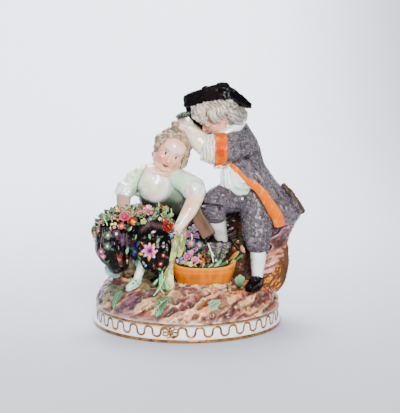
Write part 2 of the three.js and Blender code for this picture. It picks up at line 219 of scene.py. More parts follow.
def through(joints: list[Point], steps: int) -> tuple[Array, Array]:
    """Draw a smooth line through joints in steps; return it, and how far along the joints each point is."""
    given = np.array(joints, float)
    ends = np.vstack([2 * given[0] - given[1], given, 2 * given[-1] - given[-2]])
    shares = np.linspace(0, len(given) - 1, (len(given) - 1) * steps + 1)
    line = []
    for share in shares:
        k = min(int(share), len(given) - 2)
        t = share - k
        a, b, c, d = ends[k : k + 4]
        line.append(
            0.5
            * (2 * b + (c - a) * t + (2 * a - 5 * b + 4 * c - d) * t**2 + (3 * b - a - 3 * c + d) * t**3)
        )
    return np.array(line), shares


def mesh_piece(name: str, points: Array, faces: list) -> Piece:
    """Make an object of closed skins, its faces turned outwards, from points in millimetres."""
    mesh = bpy.data.meshes.new(name)
    mesh.from_pydata((points * MM).tolist(), [], faces)
    piece = bpy.data.objects.new(name, mesh)
    bpy.context.collection.objects.link(piece)
    with editing(piece):
        bpy.ops.mesh.normals_make_consistent(inside=False)
    return piece


def skin_faces(count: int, sides: int, start: int = 0) -> list[tuple]:
    """Return the faces over so many rings of so many sides, a pole at each end, numbered from start."""
    faces = []
    end = start + 1 + count * sides
    for j in range(sides):
        k = (j + 1) % sides
        faces.append((start, start + 1 + k, start + 1 + j))
        for a in range(start + 1, end - sides, sides):
            faces.append((a + j, a + k, a + sides + k, a + sides + j))
        faces.append((end - sides + j, end - sides + k, end))
    return faces


def skin_over(name: str, rings: Array, first: Array, last: Array) -> Piece:
    """Close a skin over rings of points, as rings by sides by 3, with a pole at each end."""
    points = np.vstack([first[None], rings.reshape(-1, 3), last[None]])
    return mesh_piece(name, points, skin_faces(*rings.shape[:2]))


def closed_hoop(name: str, rings: Array) -> Piece:
    """Join rings of points, as rings by sides by 3, into an endless hoop."""
    count, sides = rings.shape[:2]
    faces = []
    for i in range(count):
        n = (i + 1) % count
        for j in range(sides):
            k = (j + 1) % sides
            faces.append((i * sides + j, i * sides + k, n * sides + k, n * sides + j))
    return mesh_piece(name, rings.reshape(-1, 3), faces)


@dataclass
class Clay:
    """Lumps and rolls of clay that are pressed together into one closed form."""

    name: str
    lumps: list[Piece] = field(default_factory=list)

    def ball(self, at: Point, radii: Point, turn: Point = (0, 0, 0)) -> None:
        """Add an egg-shaped lump, turned by some degrees about x, then y, then z."""
        bpy.ops.mesh.primitive_uv_sphere_add(
            segments=BALL_SEGMENTS,
            ring_count=BALL_RINGS,
            radius=MM,
            location=[value * MM for value in at],
            rotation=[math.radians(angle) for angle in turn],
            scale=radii,
        )
        self.lumps.append(bpy.context.object)

    def roll(
        self, joints: list[Point], widths: list, flat: Point = (0, 0, 1), sides: int = 16, steps: int = 6,
        pleats: tuple[int, float] = (0, 0.0), bulge: float = 0.9,
    ) -> None:
        """Add a tapered roll along a smooth line.

        Args:
            joints: The places it passes.
            widths: A half width at each joint, or a pair: along flat, and across it.
            flat: The way that the first of a pair of widths lies.
            sides: Points round it.
            steps: Rings between two joints.
            pleats: How many pleats run along it, and their depth as a share of its width.
            bulge: How far its ends bulge, as a share of its width.
        """
        line, shares = through(joints, steps)
        pairs = np.array([w if isinstance(w, tuple) else (w, w) for w in widths], float)
        wide = np.stack([np.interp(shares, range(len(pairs)), pairs[:, n]) for n in (0, 1)], 1)
        ways = np.gradient(line, axis=0)
        ways /= np.linalg.norm(ways, axis=1)[:, None]
        across = np.cross(ways, np.array(flat, float))
        across /= np.linalg.norm(across, axis=1)[:, None]
        along = np.cross(across, ways)
        angles = 2 * math.pi * (np.arange(sides) + 0.5) / sides
        swell = 1 + pleats[1] * np.cos(pleats[0] * angles)

        def ring(i: int, shrink: float, shift: float) -> Array:
            """Return the ring at a place on the line, shrunk and moved along it."""
            a, b = wide[i] * shrink
            middle = line[i] + ways[i] * shift * bulge * min(wide[i])
            return (
                middle + np.outer(swell * np.cos(angles) * a, along[i])
                + np.outer(swell * np.sin(angles) * b, across[i])
            )

        caps = [(0.5, 0.9), (0.85, 0.55)]
        rings = [ring(0, shrink, -shift) for shrink, shift in caps]
        rings += [ring(i, 1.0, 0.0) for i in range(len(line))]
        rings += [ring(len(line) - 1, shrink, shift) for shrink, shift in reversed(caps)]
        first = line[0] - ways[0] * bulge * min(wide[0])
        last = line[-1] + ways[-1] * bulge * min(wide[-1])
        self.lumps.append(skin_over(self.name, np.array(rings), first, last))

    def stack(self, ovals: list[tuple], folds: tuple[int, float] = (0, 0.0), sides: int = 48) -> None:
        """Add a body built up of level ovals.

        Args:
            ovals: Rows of x, y, z, half width and half depth, from one end to the other.
            folds: How many folds ripple its outline, and how deep they are at the last oval.
            sides: Points round it.
        """
        rows, shares = through([oval[:3] for oval in ovals], 4)
        sizes = np.stack(
            [np.interp(shares, range(len(ovals)), [oval[n] for oval in ovals]) for n in (3, 4)], 1,
        )
        angles = circle(sides)
        rings = []
        for middle, (a, b), share in zip(rows, sizes, shares / shares[-1]):
            swell = 1 + folds[1] * share * np.cos(folds[0] * angles)
            rings.append(
                middle
                + np.stack([a * swell * np.cos(angles), b * swell * np.sin(angles), np.zeros(sides)], 1)
            )
        self.lumps.append(skin_over(self.name, np.array(rings), rows[0], rows[-1]))

    def joined(self) -> Piece:
        """Join the lumps as they are into one object at the origin."""
        pick(*self.lumps)
        bpy.ops.object.transform_apply(location=True, rotation=True, scale=True)
        bpy.ops.object.join()
        piece = bpy.context.object
        piece.name = piece.data.name = self.name
        return piece

    def press(self, voxel: float, smooth: int, ground: Colour = WHITE) -> "Surface":
        """Press the lumps into one form, its finest detail a voxel's size, and smooth it so often."""
        piece = self.joined()
        finish_with(piece, "REMESH", mode="VOXEL", voxel_size=voxel * MM)
        finish_with(piece, "SMOOTH", factor=0.5, iterations=smooth)
        bpy.ops.object.shade_smooth()
        return Surface(piece, ground)

    def hand(self, wrist: Point, way: Point, thumb: Point, size: float, curl: float) -> None:
        """Add a child's hand.

        Args:
            wrist: Where the hand starts.
            way: The way it points.
            thumb: The way from the little finger to the thumb.
            size: 1 for a hand 9 mm long.
            curl: 0 for straight fingers, 1 for a fist.
        """
        start, ahead, side = Vector(wrist), Vector(way).normalized(), Vector(thumb)
        side = (side - ahead * side.dot(ahead)).normalized()
        palm = ahead.cross(side)
        middle, end = start + ahead * 2 * size, start + ahead * 4.2 * size
        widths = [(1.7 * size, 2.2 * size), (1.8 * size, 2.7 * size), (1.4 * size, 2.5 * size)]
        self.roll([start, middle, end], widths, flat=palm)
        for k, length in enumerate((2.3, 2.6, 2.5, 2.1)):
            base = start + ahead * (3.9 - 0.25 * abs(k - 1.6)) * size + side * (k - 1.5) * 1.25 * size
            reach = length * size
            knuckle = base + (ahead * (1 - 0.3 * curl) + palm * 0.7 * curl) * reach
            bent = ahead * (1 - 1.1 * curl) + palm * curl + side * (k - 1.5) * 0.06
            joints = [base - ahead * size, base, knuckle, knuckle + bent * reach * 0.85]
            self.roll(joints, [0.78 * size, 0.78 * size, 0.7 * size, 0.52 * size], sides=10, steps=3)
        knuckle = start + ahead * 1.2 * size + side * 2.2 * size
        bend = knuckle + (ahead * 1.5 + side * 1.1 + palm * 0.6) * size
        joints = [start + ahead * 0.4 * size, knuckle, bend, bend + (ahead * 1.5 + palm * 0.8) * size]
        self.roll(joints, [1.1 * size, 1.0 * size, 0.8 * size, 0.55 * size], sides=10, steps=3)


class Tree:
    """A short hand for building a shader's nodes and joining them."""

    def __init__(self, tree: bpy.types.NodeTree) -> None:
        """Start on an empty tree."""
        self.tree = tree
        tree.nodes.clear()

    def fill(self, socket: Socket, value: object) -> None:
        """Join another node's output to a socket, or put a value into it."""
        if isinstance(value, bpy.types.NodeSocket):
            self.tree.links.new(value, socket)
        elif isinstance(value, tuple) and len(value) == 3 and socket.type == "RGBA":
            socket.default_value = (*value, 1)
        else:
            socket.default_value = value

    def node(self, kind: str, inputs: dict | None = None, **settings: object) -> bpy.types.Node:
        """Add a node of Blender's kind, its inputs filled by name or place, its settings set."""
        made = self.tree.nodes.new(kind if kind.startswith("Node") else "ShaderNode" + kind)
        for name, value in settings.items():
            setattr(made, name, value)
        for name, value in (inputs or {}).items():
            self.fill(made.inputs[name], value)
        return made

    def place(self) -> Socket:
        """Return each point's place in metres, in the frame of its object."""
        return self.node("TexCoord").outputs["Object"]

    def mix(self, share: object, one: object, other: object, way: str = "MIX") -> Socket:
        """Mix two colours by a share."""
        return self.node("Mix", {0: share, 6: one, 7: other}, data_type="RGBA", blend_type=way).outputs[2]

    def times(self, one: object, other: object) -> Socket:
        """Multiply two values."""
        return self.node("Math", {0: one, 1: other}, operation="MULTIPLY").outputs[0]

    def ramp(self, value: Socket, low: float, high: float) -> Socket:
        """Turn a value into 0 below low and 1 above high."""
        inputs = {"Value": value, "From Min": low, "From Max": high}
        return self.node("MapRange", inputs, interpolation_type="SMOOTHSTEP").outputs["Result"]

    def spread(self, value: Socket, least: float, most: float) -> Socket:
        """Spread a value from 0 to 1 out between two others."""
        return self.node("MapRange", {"Value": value, "To Min": least, "To Max": most}).outputs[0]

    def noise(self, where: Socket, scale: float, detail: float = 3.0) -> Socket:
        """Return a noise value over places in metres."""
        return self.node("TexNoise", {"Vector": where, "Scale": scale, "Detail": detail}).outputs["Fac"]


def new_group(
    name: str, inputs: dict[str, str], outputs: dict[str, str],
) -> tuple[Tree, bpy.types.Node, bpy.types.Node]:
    """Start a node group with Color and Float sockets; return its tree, its input and its output."""
    made = bpy.data.node_groups.new(name, "ShaderNodeTree")
    for kind, sockets in (("INPUT", inputs), ("OUTPUT", outputs)):
        for socket, type_name in sockets.items():
            made.interface.new_socket(socket, in_out=kind, socket_type="NodeSocket" + type_name)
    tree = Tree(made)
    return tree, tree.node("NodeGroupInput"), tree.node("NodeGroupOutput")


def enamel_group() -> bpy.types.NodeTree:
    """Make the shared look of enamel under glaze: brush marks, colour pooled in hollows, thin on ridges."""
    tree, given, out = new_group(
        "enamel",
        {"Colour": "Color", "Pool": "Color", "Pooling": "Float", "Brush": "Float", "Hollow": "Float"},
        {"Colour": "Color", "Roughness": "Float", "Height": "Float"},
    )
    where = tree.place()
    streaks = tree.noise(tree.node("Mapping", {"Vector": where, "Scale": (1.0, 1.0, 0.35)}).outputs[0], 900)
    uneven = tree.times(tree.ramp(streaks, 0.3, 0.7), tree.ramp(tree.noise(where, 160), 0.3, 0.7))
    thin = tree.times(uneven, given.outputs["Brush"])
    brushed = tree.mix(thin, given.outputs["Colour"], (0.93, 0.9, 0.84), "SOFT_LIGHT")
    deep = tree.times(tree.ramp(given.outputs["Hollow"], 0.08, 0.9), given.outputs["Pooling"])
    tree.fill(out.inputs["Colour"], tree.mix(deep, brushed, given.outputs["Pool"]))
    tree.fill(out.inputs["Roughness"], tree.spread(tree.noise(where, 240), 0.1, 0.24))
    tree.fill(out.inputs["Height"], tree.noise(where, 420, 1.0))
    return tree.tree


def fleck_group() -> bpy.types.NodeTree:
    """Make the woven print of the boy's suit: pale, pink and teal sprigs crowded on a grey violet ground."""
    tree, given, out = new_group("sprigged_cloth", {"Ground": "Color"}, {"Colour": "Color"})
    where = tree.place()
    bent = tree.node("TexNoise", {"Vector": where, "Scale": 500.0, "Detail": 2.0}).outputs["Color"]
    shift = tree.node("VectorMath", {0: bent, "Scale": 0.0016}, operation="SCALE").outputs[0]
    place = tree.node("VectorMath", {0: where, 1: shift}, operation="ADD").outputs[0]
    colour = tree.mix(
        tree.ramp(tree.noise(place, 260), 0.38, 0.66), given.outputs["Ground"], tint(108, 100, 108),
    )
    for scale, low, high, sprig in (
        (520, 0.54, 0.68, tint(164, 160, 162)),
        (660, 0.6, 0.7, tint(188, 164, 170)),
        (610, 0.6, 0.67, tint(92, 116, 124)),
        (720, 0.62, 0.68, tint(172, 170, 168)),
        (560, 0.64, 0.7, tint(142, 98, 118)),
        (640, 0.62, 0.69, tint(60, 54, 64)),
    ):
        moved = tree.node("Mapping", {"Vector": place, "Location": (scale * 1e-3, low, high)}).outputs[0]
        colour = tree.mix(tree.ramp(tree.noise(moved, scale, 2.0), low, high), colour, sprig)
    tree.fill(out.inputs["Colour"], colour)
    return tree.tree


def shared_group(name: str) -> bpy.types.NodeTree:
    """Return one of the shared node groups, built at its first use."""
    return bpy.data.node_groups.get(name) or {"enamel": enamel_group, "sprigged_cloth": fleck_group}[name]()


class Look(Enum):
    """What covers a piece, beyond the colours painted on its points."""

    ENAMEL = "enamel"
    SPRIGGED = "sprigged"
    GILT = "gilt"


@dataclass(frozen=True)
class Finish:
    """One finish of the painted porcelain."""

    name: str
    pool: Colour
    pooling: float = 0.5
    brush: float = 0.35
    coat: float = 0.7
    shine: float = 0.5
    look: Look = Look.ENAMEL

    def material(self) -> bpy.types.Material:
        """Return the finish's material, built at its first use."""
        return bpy.data.materials.get(self.name) or self.mixed()

    def mixed(self) -> bpy.types.Material:
        """Build the finish's material."""
        made = bpy.data.materials.new(self.name)
        made.use_nodes = True
        tree = Tree(made.node_tree)
        paint = tree.node("Attribute", attribute_name="paint").outputs["Color"]
        hollow = tree.node("Attribute", attribute_name="hollow").outputs["Fac"]
        if self.look is Look.SPRIGGED:
            cloth = tree.node("Group", node_tree=shared_group("sprigged_cloth"))
            tree.fill(cloth.inputs["Ground"], paint)
            paint = cloth.outputs["Colour"]
        enamel = tree.node("Group", node_tree=shared_group("enamel"))
        given = {
            "Colour": paint, "Hollow": hollow, "Pool": self.pool, "Pooling": self.pooling,
            "Brush": self.brush,
        }
        for name, value in given.items():
            tree.fill(enamel.inputs[name], value)
        relief = tree.node(
            "Bump", {"Height": enamel.outputs["Height"], "Strength": 0.12, "Distance": 0.0003},
        )
        inputs = {
            "Base Color": enamel.outputs["Colour"],
            "Roughness": enamel.outputs["Roughness"],
            "Normal": relief.outputs[0],
            "Coat Weight": self.coat,
            "Coat Roughness": 0.05,
            "Specular IOR Level": self.shine,
        }
        if self.look is Look.GILT:
            worn = tree.ramp(tree.noise(tree.place(), 520, 4.0), 0.5, 0.66)
            inputs |= {"Metallic": tree.spread(worn, 0.55, 0.1), "Coat Weight": 0.15}
        tree.node("OutputMaterial", {0: tree.node("BsdfPrincipled", inputs).outputs[0]})
        return made


GLAZE = Finish("white_glaze", tint(112, 136, 120), 0.85, 0.1)
FLESH = Finish("flesh_enamel", tint(206, 158, 138), 0.5, 0.1, 0.5)
HAIR = Finish("hair_enamel", tint(120, 94, 72), 0.85, 0.15, 0.35, 0.35)
POWDERED = Finish("powdered_wig", tint(96, 96, 94), 0.9, 0.2, 0.4)
PRINT = Finish("suit_print", tint(46, 40, 50), 0.7, 0.1, 0.03, 0.12, Look.SPRIGGED)
GLOSS = Finish("black_enamel", BLACK, 0.3, 0.06, 0.06, 0.08)
ENAMEL = Finish("bright_enamel", (0.12, 0.02, 0.002), 0.5, 0.04, 0.0, 0.05)
ROCK = Finish("rock_enamel", tint(96, 58, 50), 0.55, 0.2, 0.03, 0.12)
GROUND = Finish("ground_enamel", tint(92, 54, 44), 0.6, 0.15, 0.22, 0.25)
APRON = Finish("apron_enamel", tint(120, 130, 84), 0.85, 0.1, 0.1, 0.2)
FELT = Finish("hat_enamel", BLACK, 0.3, 0.06, 0.015, 0.05)
PETAL = Finish("petal_enamel", tint(60, 50, 56), 0.45, 0.15, 0.35, 0.35)
GILDING = Finish("worn_gilding", tint(96, 54, 26), 0.8, 0.2, look=Look.GILT)


class Surface:
    """The surface of a form: it is pushed into relief, painted, and at last dressed as a piece."""

    def __init__(self, piece: Piece, ground: Colour = WHITE) -> None:
        """Take up a form and cover it with one ground colour."""
        self.piece = piece
        self.read()
        self.cover(ground)

    def read(self) -> None:
        """Take the form's points, and the way out at each of them, as they are now."""
        self.points, self.normals = points_of(self.piece), rows_of(self.piece, "normal")

    def push(self, move: Array) -> None:
        """Move each point out by so many millimetres; what was read of it stays until it is read again."""
        put_points(self.piece, self.points + self.normals * move[:, None])

    def cloud(self, size: float, seed: int, stretch: Point = (1, 1, 1)) -> Array:
        """Return a smooth random field over the surface, from about -1 to 1."""
        return cloud(self.points, size, seed, stretch)

    def patch(self, size: float, seed: int, low: float, high: float, stretch: Point = (1, 1, 1)) -> Array:
        """Return 1 in random patches where such a field passes high, and 0 where it is below low."""
        return soft_step(self.cloud(size, seed, stretch), low, high)

    def cover(self, ground: Colour) -> None:
        """Cover the whole surface with one colour."""
        self.colours = np.broadcast_to(np.array(ground, float), self.points.shape).copy()

    def wash(self, colour: Colour, mask: Array) -> None:
        """Lay a colour on where a mask is 1."""
        self.colours = blend(self.colours, colour, mask)

    def mottle(self, colour: Colour, share: float, *patch: object) -> None:
        """Lay a share of a colour on in random patches, which the rest says."""
        self.wash(colour, share * self.patch(*patch))

    def dress(self, finish: Finish, depth: float = 0.18) -> Piece:
        """Give the piece its paint and its finish, and enter it in the frame.

        Args:
            finish: What it is covered with.
            depth: How deep a hollow is, in millimetres, that takes the full pooled colour.

        Returns:
            The finished piece.
        """
        piece = self.piece
        self.read()
        sunk = ((settled(self.points, piece, HOLLOW_PASSES) - self.points) * self.normals).sum(1)
        hollow = piece.data.attributes.new("hollow", "FLOAT", "POINT")
        hollow.data.foreach_set("value", np.clip(sunk / depth, 0, 1).astype(np.float32))
        rows = np.hstack([self.colours, np.ones((len(self.colours), 1))])
        paint = piece.data.color_attributes.new("paint", "FLOAT_COLOR", "POINT")
        paint.data.foreach_set("color", rows.astype(np.float32).ravel())
        piece.data.materials.clear()
        piece.data.materials.append(finish.material())
        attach(piece, "root")
        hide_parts(NODE)
        log.info("%s: %d faces", piece.name, len(piece.data.polygons))
        return piece

    def front(self, x: float, z: float) -> Array:
        """Return the point seen at x and z from in front."""
        near = np.hypot(self.points[:, 0] - x, self.points[:, 2] - z)
        close = np.flatnonzero(near < max(0.8, near.min() + 0.2))
        return self.points[close[np.argmin(self.points[close, 1])]]

    def around(self, spot: Array, reach: float, turn: float = 0.0) -> tuple[Array, Array, Array]:
        """Lay a flat grid on the surface at a spot.

        Args:
            spot: The grid's middle.
            reach: How far the grid holds, in millimetres.
            turn: Degrees that the grid is turned.

        Returns:
            The rows near the spot, and how far each one lies along and across the grid.
        """
        away = self.points - spot
        rows = np.flatnonzero((away**2).sum(1) < reach * reach)
        normal = self.normals[rows[np.argmin((away[rows] ** 2).sum(1))]]
        rows = rows[self.normals[rows] @ normal > 0.1]
        upward = np.array((0, 0, 1.0)) if abs(normal[2]) < 0.9 else np.array((0, 1.0, 0))
        side = np.cross(upward, normal)
        side /= np.linalg.norm(side)
        lift = np.cross(normal, side)
        u, v = away[rows] @ side, away[rows] @ lift
        c, s = math.cos(math.radians(turn)), math.sin(math.radians(turn))
        return rows, u * c + v * s, v * c - u * s

    def lay(self, rows: Array, colour: Colour, mask: Array) -> None:
        """Lay a colour on some rows where a mask is 1."""
        self.colours[rows] = blend(self.colours[rows], colour, mask)

    def flower(self, spot: Array, kind: str, size: float, petal: Colour, heart: Colour) -> None:
        """Paint one flower.

        Args:
            spot: Its middle.
            kind: daisy, aster, bell or rose.
            size: Its half width.
            petal: The petals' colour.
            heart: The middle's colour.
        """
        rows, u, v = self.around(spot, size * 1.4)
        r, angle = np.hypot(u, v) / size, np.arctan2(v, u)
        petals, notch = {"daisy": (8, 0.16), "aster": (11, 0.2), "bell": (3, 0.3), "rose": (5, 0.1)}[kind]
        edge = 1 - notch + notch * np.cos(petals * angle)
        self.lay(rows, petal, soft_step(edge - r, 0.0, 0.12))
        if kind == "daisy":
            self.lay(
                rows, shaded(petal, 0.4, 0.5),
                0.7 * soft_step(edge - r, 0.0, 0.12) * soft_step(r, 0.45, 0.85),
            )
        lines = soft_step(-np.cos(petals * angle), 0.5, 1.0) * soft_step(edge - r, 0.0, 0.1)
        self.lay(rows, shaded(petal, 0.35), 0.6 * lines * soft_step(r, 0.15, 0.3))
        self.lay(rows, heart, soft_step(0.34 - r, 0.0, 0.12))
        if kind == "daisy":
            self.lay(rows, heart, 0.8 * soft_step(0.5 + 0.16 * np.cos(petals * angle) - r, 0.0, 0.12))
            self.lay(rows, tint(96, 24, 66), soft_step(0.16 - r, 0.0, 0.08))

    def leaf(self, spot: Array, turn: float, size: float, colour: Colour) -> None:
        """Paint one pointed leaf with a darker rib, turned by some degrees."""
        rows, u, v = self.around(spot, size * 1.3, turn)
        body = soft_step(1 - np.abs(v) / size - (u / size / 0.42) ** 2, 0.0, 0.2)
        self.lay(rows, colour, body)
        self.lay(rows, shaded(colour, 0.45), 0.6 * body * bump(u / size / 0.12))

    def spot(self, spot: Array, size: float, colour: Colour) -> None:
        """Paint one round dot."""
        rows, u, v = self.around(spot, size * 1.4)
        self.lay(rows, colour, soft_step(1.15 - np.hypot(u, v) / size, 0.0, 0.25))


@dataclass
class Mound:
    """The round plinth, the rocky ground on it and its gilding."""

    foot: float = 57.0
    band: float = 55.4
    rim: float = 56.0
    foot_top: float = 1.8
    band_top: float = 9.4
    top: float = 11.2
    rise: float = 15.2
    waves: int = 34
    wave_height: float = 2.85
    rosettes: tuple[float, ...] = (-99.8, 80.2)
    banks: tuple = (
        # Where the ground swells: place, reach along x and y, and height.
        ((-44, 4), (9, 17), 5),
        ((-24, 30), (20, 14), 5),
        ((34, 26), (18, 16), 6),
        ((45, -10), (9, 10), -1.6),
        ((-8, -38), (16, 8), 1.6),
    )

    def height(self, x: Array, y: Array) -> Array:
        """Return the ground's height over the underside at these places."""
        share = np.minimum(np.hypot(x, y) / self.rim, 1)
        dome = (1 - share**9) ** 0.55
        height = self.top + self.rise * dome
        for (px, py), (rx, ry), lift in self.banks:
            height = height + lift * dome * bump((x - px) / rx, (y - py) / ry)
        crags = np.sin(x * 0.31 + y * 0.17 + 1) * np.sin(y * 0.36 - x * 0.12)
        return height + 0.8 * dome * (crags + 0.6 * np.sin(x * 0.62 - y * 0.4))

    def at(self, x: float, y: float, lift: float = 0.0) -> Point:
        """Return the place on the ground over x and y, lifted by some millimetres."""
        return (x, y, float(self.height(np.array(x), np.array(y))) + lift)

    def build(self) -> list[Piece]:
        """Model and dress the base."""
        return [self.body(), self.gilding()]

    def body(self) -> Piece:
        """Throw the plinth with its mouldings, and heap the ground on it."""
        turns = circle(540)
        wall = [(self.foot, 0.0), (self.foot, self.foot_top), (self.band, self.foot_top + 0.8)]
        wall += [(self.band, z) for z in np.linspace(self.foot_top + 1.6, self.band_top, 8)]
        wall += [(self.rim, self.band_top + 0.6), (self.rim, self.top)]
        rings = [[(r * math.cos(a), r * math.sin(a), z) for a in turns] for r, z in wall]
        for share in 1 - np.linspace(0.004, 0.97, 96) ** 1.5:
            x, y = self.rim * share * np.cos(turns), self.rim * share * np.sin(turns)
            rings.append(np.stack([x, y, self.height(x, y)], 1))
        centre = np.array([0, 0, float(self.height(np.array(0.0), np.array(0.0)))])
        piece = skin_over("rocky_mound", np.array([np.array(ring) for ring in rings]), np.zeros(3), centre)
        skin = Surface(piece, tint(226, 236, 238))
        strokes = self.slanted(skin.points)
        crest = 1 - np.abs(cloud(strokes, 12, 3, (2.2, 1, 1)) + 0.18 * skin.cloud(7, 4)) * 1.7
        move = 1.2 * (crest - 0.6) + 0.12 * cloud(strokes, 3.4, 5, (2.4, 1, 1))
        skin.push(soft_step(skin.points[:, 2], self.top + 0.2, self.top + 1.8) * move)
        pick(piece)
        bpy.ops.object.shade_smooth_by_angle(angle=math.radians(50))
        skin.read()
        self.paint(skin, crest)
        return skin.dress(GROUND, 0.3)

    @staticmethod
    def slanted(points: Array) -> Array:
        """Turn places so that x runs up the slant that the rock's ridges follow."""
        x, y, z = (points + 1.2 * np.stack([cloud(points, 20, seed) for seed in (35, 36, 37)], 1)).T
        rise = z + 0.2 * y
        return np.stack([0.87 * x + 0.5 * rise, 0.87 * rise - 0.5 * x, 0.4 * y], 1)

    def paint(self, skin: Surface, crest: Array) -> None:
        """Paint the ground on the white plinth, in slanting strokes that follow its ridges' crests."""
        x, y, z = skin.points.T
        strokes = self.slanted(skin.points)
        ground = soft_step(z + skin.cloud(9, 12) * 0.5, self.top - 0.3, self.top + 0.5)
        skin.wash(tint(226, 198, 176), ground)
        left, right = soft_step(-x, -4, 26), soft_step(x, -6, 18)
        for seed, size, low, high, colour, share in (
            (21, 13, -0.2, -0.04, tint(222, 154, 120), 0.9 * (0.45 + 0.55 * right)),
            (22, 10, 0.18, 0.3, tint(190, 112, 80), 0.8),
            (23, 14, 0.14, 0.26, tint(152, 110, 150), 0.85 * (0.55 + 0.45 * left)),
            (28, 11, 0.18, 0.3, tint(178, 168, 128), 0.65 * left),
            (31, 8, 0.4, 0.48, tint(140, 72, 52), 0.65),
            (30, 10, 0.22, 0.42, tint(244, 212, 190), 0.6),
            (25, 9, 0.38, 0.48, tint(234, 162, 110), 0.85 * right),
            (32, 9, 0.4, 0.5, tint(156, 82, 98), 0.7),
        ):
            stroke = cloud(strokes, size, seed, (3.4, 1.2, 1)) + 0.06 * skin.cloud(2.6, seed + 40)
            skin.wash(colour, ground * share * soft_step(stroke, low, high))
        fine = cloud(strokes, 4, 29, (3, 1, 1))
        # Painted highlight along the ridges' crests, and painted shade down in the hollows between them.
        skin.wash(tint(246, 218, 200), ground * 0.6 * soft_step(crest + 0.25 * fine, 0.92, 1.06))
        skin.wash(tint(124, 66, 48), ground * 0.6 * soft_step(0.3 - crest + 0.2 * fine, 0.0, 0.25))
        crack = np.abs(cloud(strokes, 7, 33, (2.6, 1, 1)) + 0.2 * skin.cloud(3, 34))
        skin.wash(
            tint(112, 62, 56),
            ground * 0.5 * soft_step(0.07 - crack, 0.0, 0.05) * soft_step(fine, -0.3, 0.1),
        )
        for px, py, reach, colour in (
            (-46, -20, 10, LEAF),
            (-36, -22, 8, tint(150, 150, 104)),
            (-26, -22, 12, tint(196, 186, 140)),
            (-23, -28, 7, tint(136, 158, 112)),
            (-28, 6, 12, tint(210, 196, 150)),
            (-34, -40, 8, VIOLET),
            (-17, -45, 6, LEAF),
            (4, -34, 9, VIOLET),
            (-50, -10, 7, VIOLET),
            (30, -28, 6, DEEP_LEAF),
            (-20, 44, 9, LEAF),
            (24, 42, 9, PALE_LEAF),
        ):
            near = bump((x - px) / reach, (y - py) / reach)
            ragged = soft_step(near + 0.28 * cloud(strokes, 6, int(px + 60), (2, 1, 1)), 0.42, 0.72)
            skin.wash(colour, ground * ragged * 0.55)
        edge = ground * soft_step(self.top + 3.4 - z, 0, 2.4)
        skin.wash(tint(214, 202, 200), edge * (0.15 + 0.4 * left))

    def gilding(self) -> Piece:
        """Lay the gilt lines, the serpentine and its rosettes on the plinth's wall."""
        clay = Clay("gilt_serpentine")
        section = circle(10)
        for radius, z, width, height in (
            (self.foot + 0.05, 1.0, 0.35, 1.0), (self.rim + 0.05, 10.5, 0.3, 0.7),
        ):
            rings = []
            for a in circle(240):
                reach = radius + width * np.cos(section)
                rings.append(
                    np.stack([reach * math.cos(a), reach * math.sin(a), z + height * np.sin(section)], 1)
                )
            clay.lumps.append(closed_hoop("gilt_line", np.array(rings)))
        middle = (self.foot_top + 0.8 + self.band_top) / 2
        turns = circle(self.waves * 24)
        phase = turns * self.waves
        bend = turns - 0.42 * np.sin(2 * phase) / self.waves
        line = np.stack(
            [self.band * np.cos(bend), self.band * np.sin(bend), middle + self.wave_height * np.sin(phase)],
            1,
        )
        clay.lumps.append(closed_hoop("gilt_wave", tube_rings(line, (0.34, 0.68))))
        for degrees in self.rosettes:
            self.rosette(clay, math.radians(degrees), middle)
        piece = clay.joined()
        bpy.ops.object.shade_smooth()
        skin = Surface(piece, (0.32, 0.14, 0.034))
        skin.wash((0.12, 0.046, 0.01), skin.patch(5, 31, 0.15, 0.7))
        return skin.dress(GILDING)

    def rosette(self, clay: Clay, turn: float, middle: float) -> None:
        """Add a gilt knot of crossed leaves on the wall, over the serpentine."""
        out = Vector((math.cos(turn), math.sin(turn), 0))
        side = Vector((-math.sin(turn), math.cos(turn), 0))
        up = Vector((0, 0, 1))
        centre = out * (self.band + 0.1) + up * middle
        clay.ball(centre, (0.9, 0.9, 0.9))
        for k in range(8):
            angle = 2 * math.pi * (k + 0.5) / 8
            way = side * math.cos(angle) * 1.35 + up * math.sin(angle)
            turn = way.cross(out)
            loop = [
                centre + way * 0.9, centre + way * 2.4 + turn * 0.9, centre + way * 3.7,
                centre + way * 2.4 - turn * 0.9, centre + way * 0.9,
            ]
            clay.roll(loop, [0.34, 0.42, 0.46, 0.42, 0.34], sides=8, steps=3)


def tube_rings(line: Array, radii: tuple[float, float], sides: int = 8) -> Array:
    """Wrap rings round a closed line about the z axis: radii are half widths outwards and along the wall."""
    ways = np.roll(line, -1, 0) - np.roll(line, 1, 0)
    ways /= np.linalg.norm(ways, axis=1)[:, None]
    out = line * (1, 1, 0)
    out /= np.linalg.norm(out, axis=1)[:, None]
    side = np.cross(ways, out)
    side /= np.linalg.norm(side, axis=1)[:, None]
    rings = []
    for angle in circle(sides):
        rings.append(line + out * radii[0] * math.cos(angle) + side * radii[1] * math.sin(angle))
    return np.stack(rings, 1)


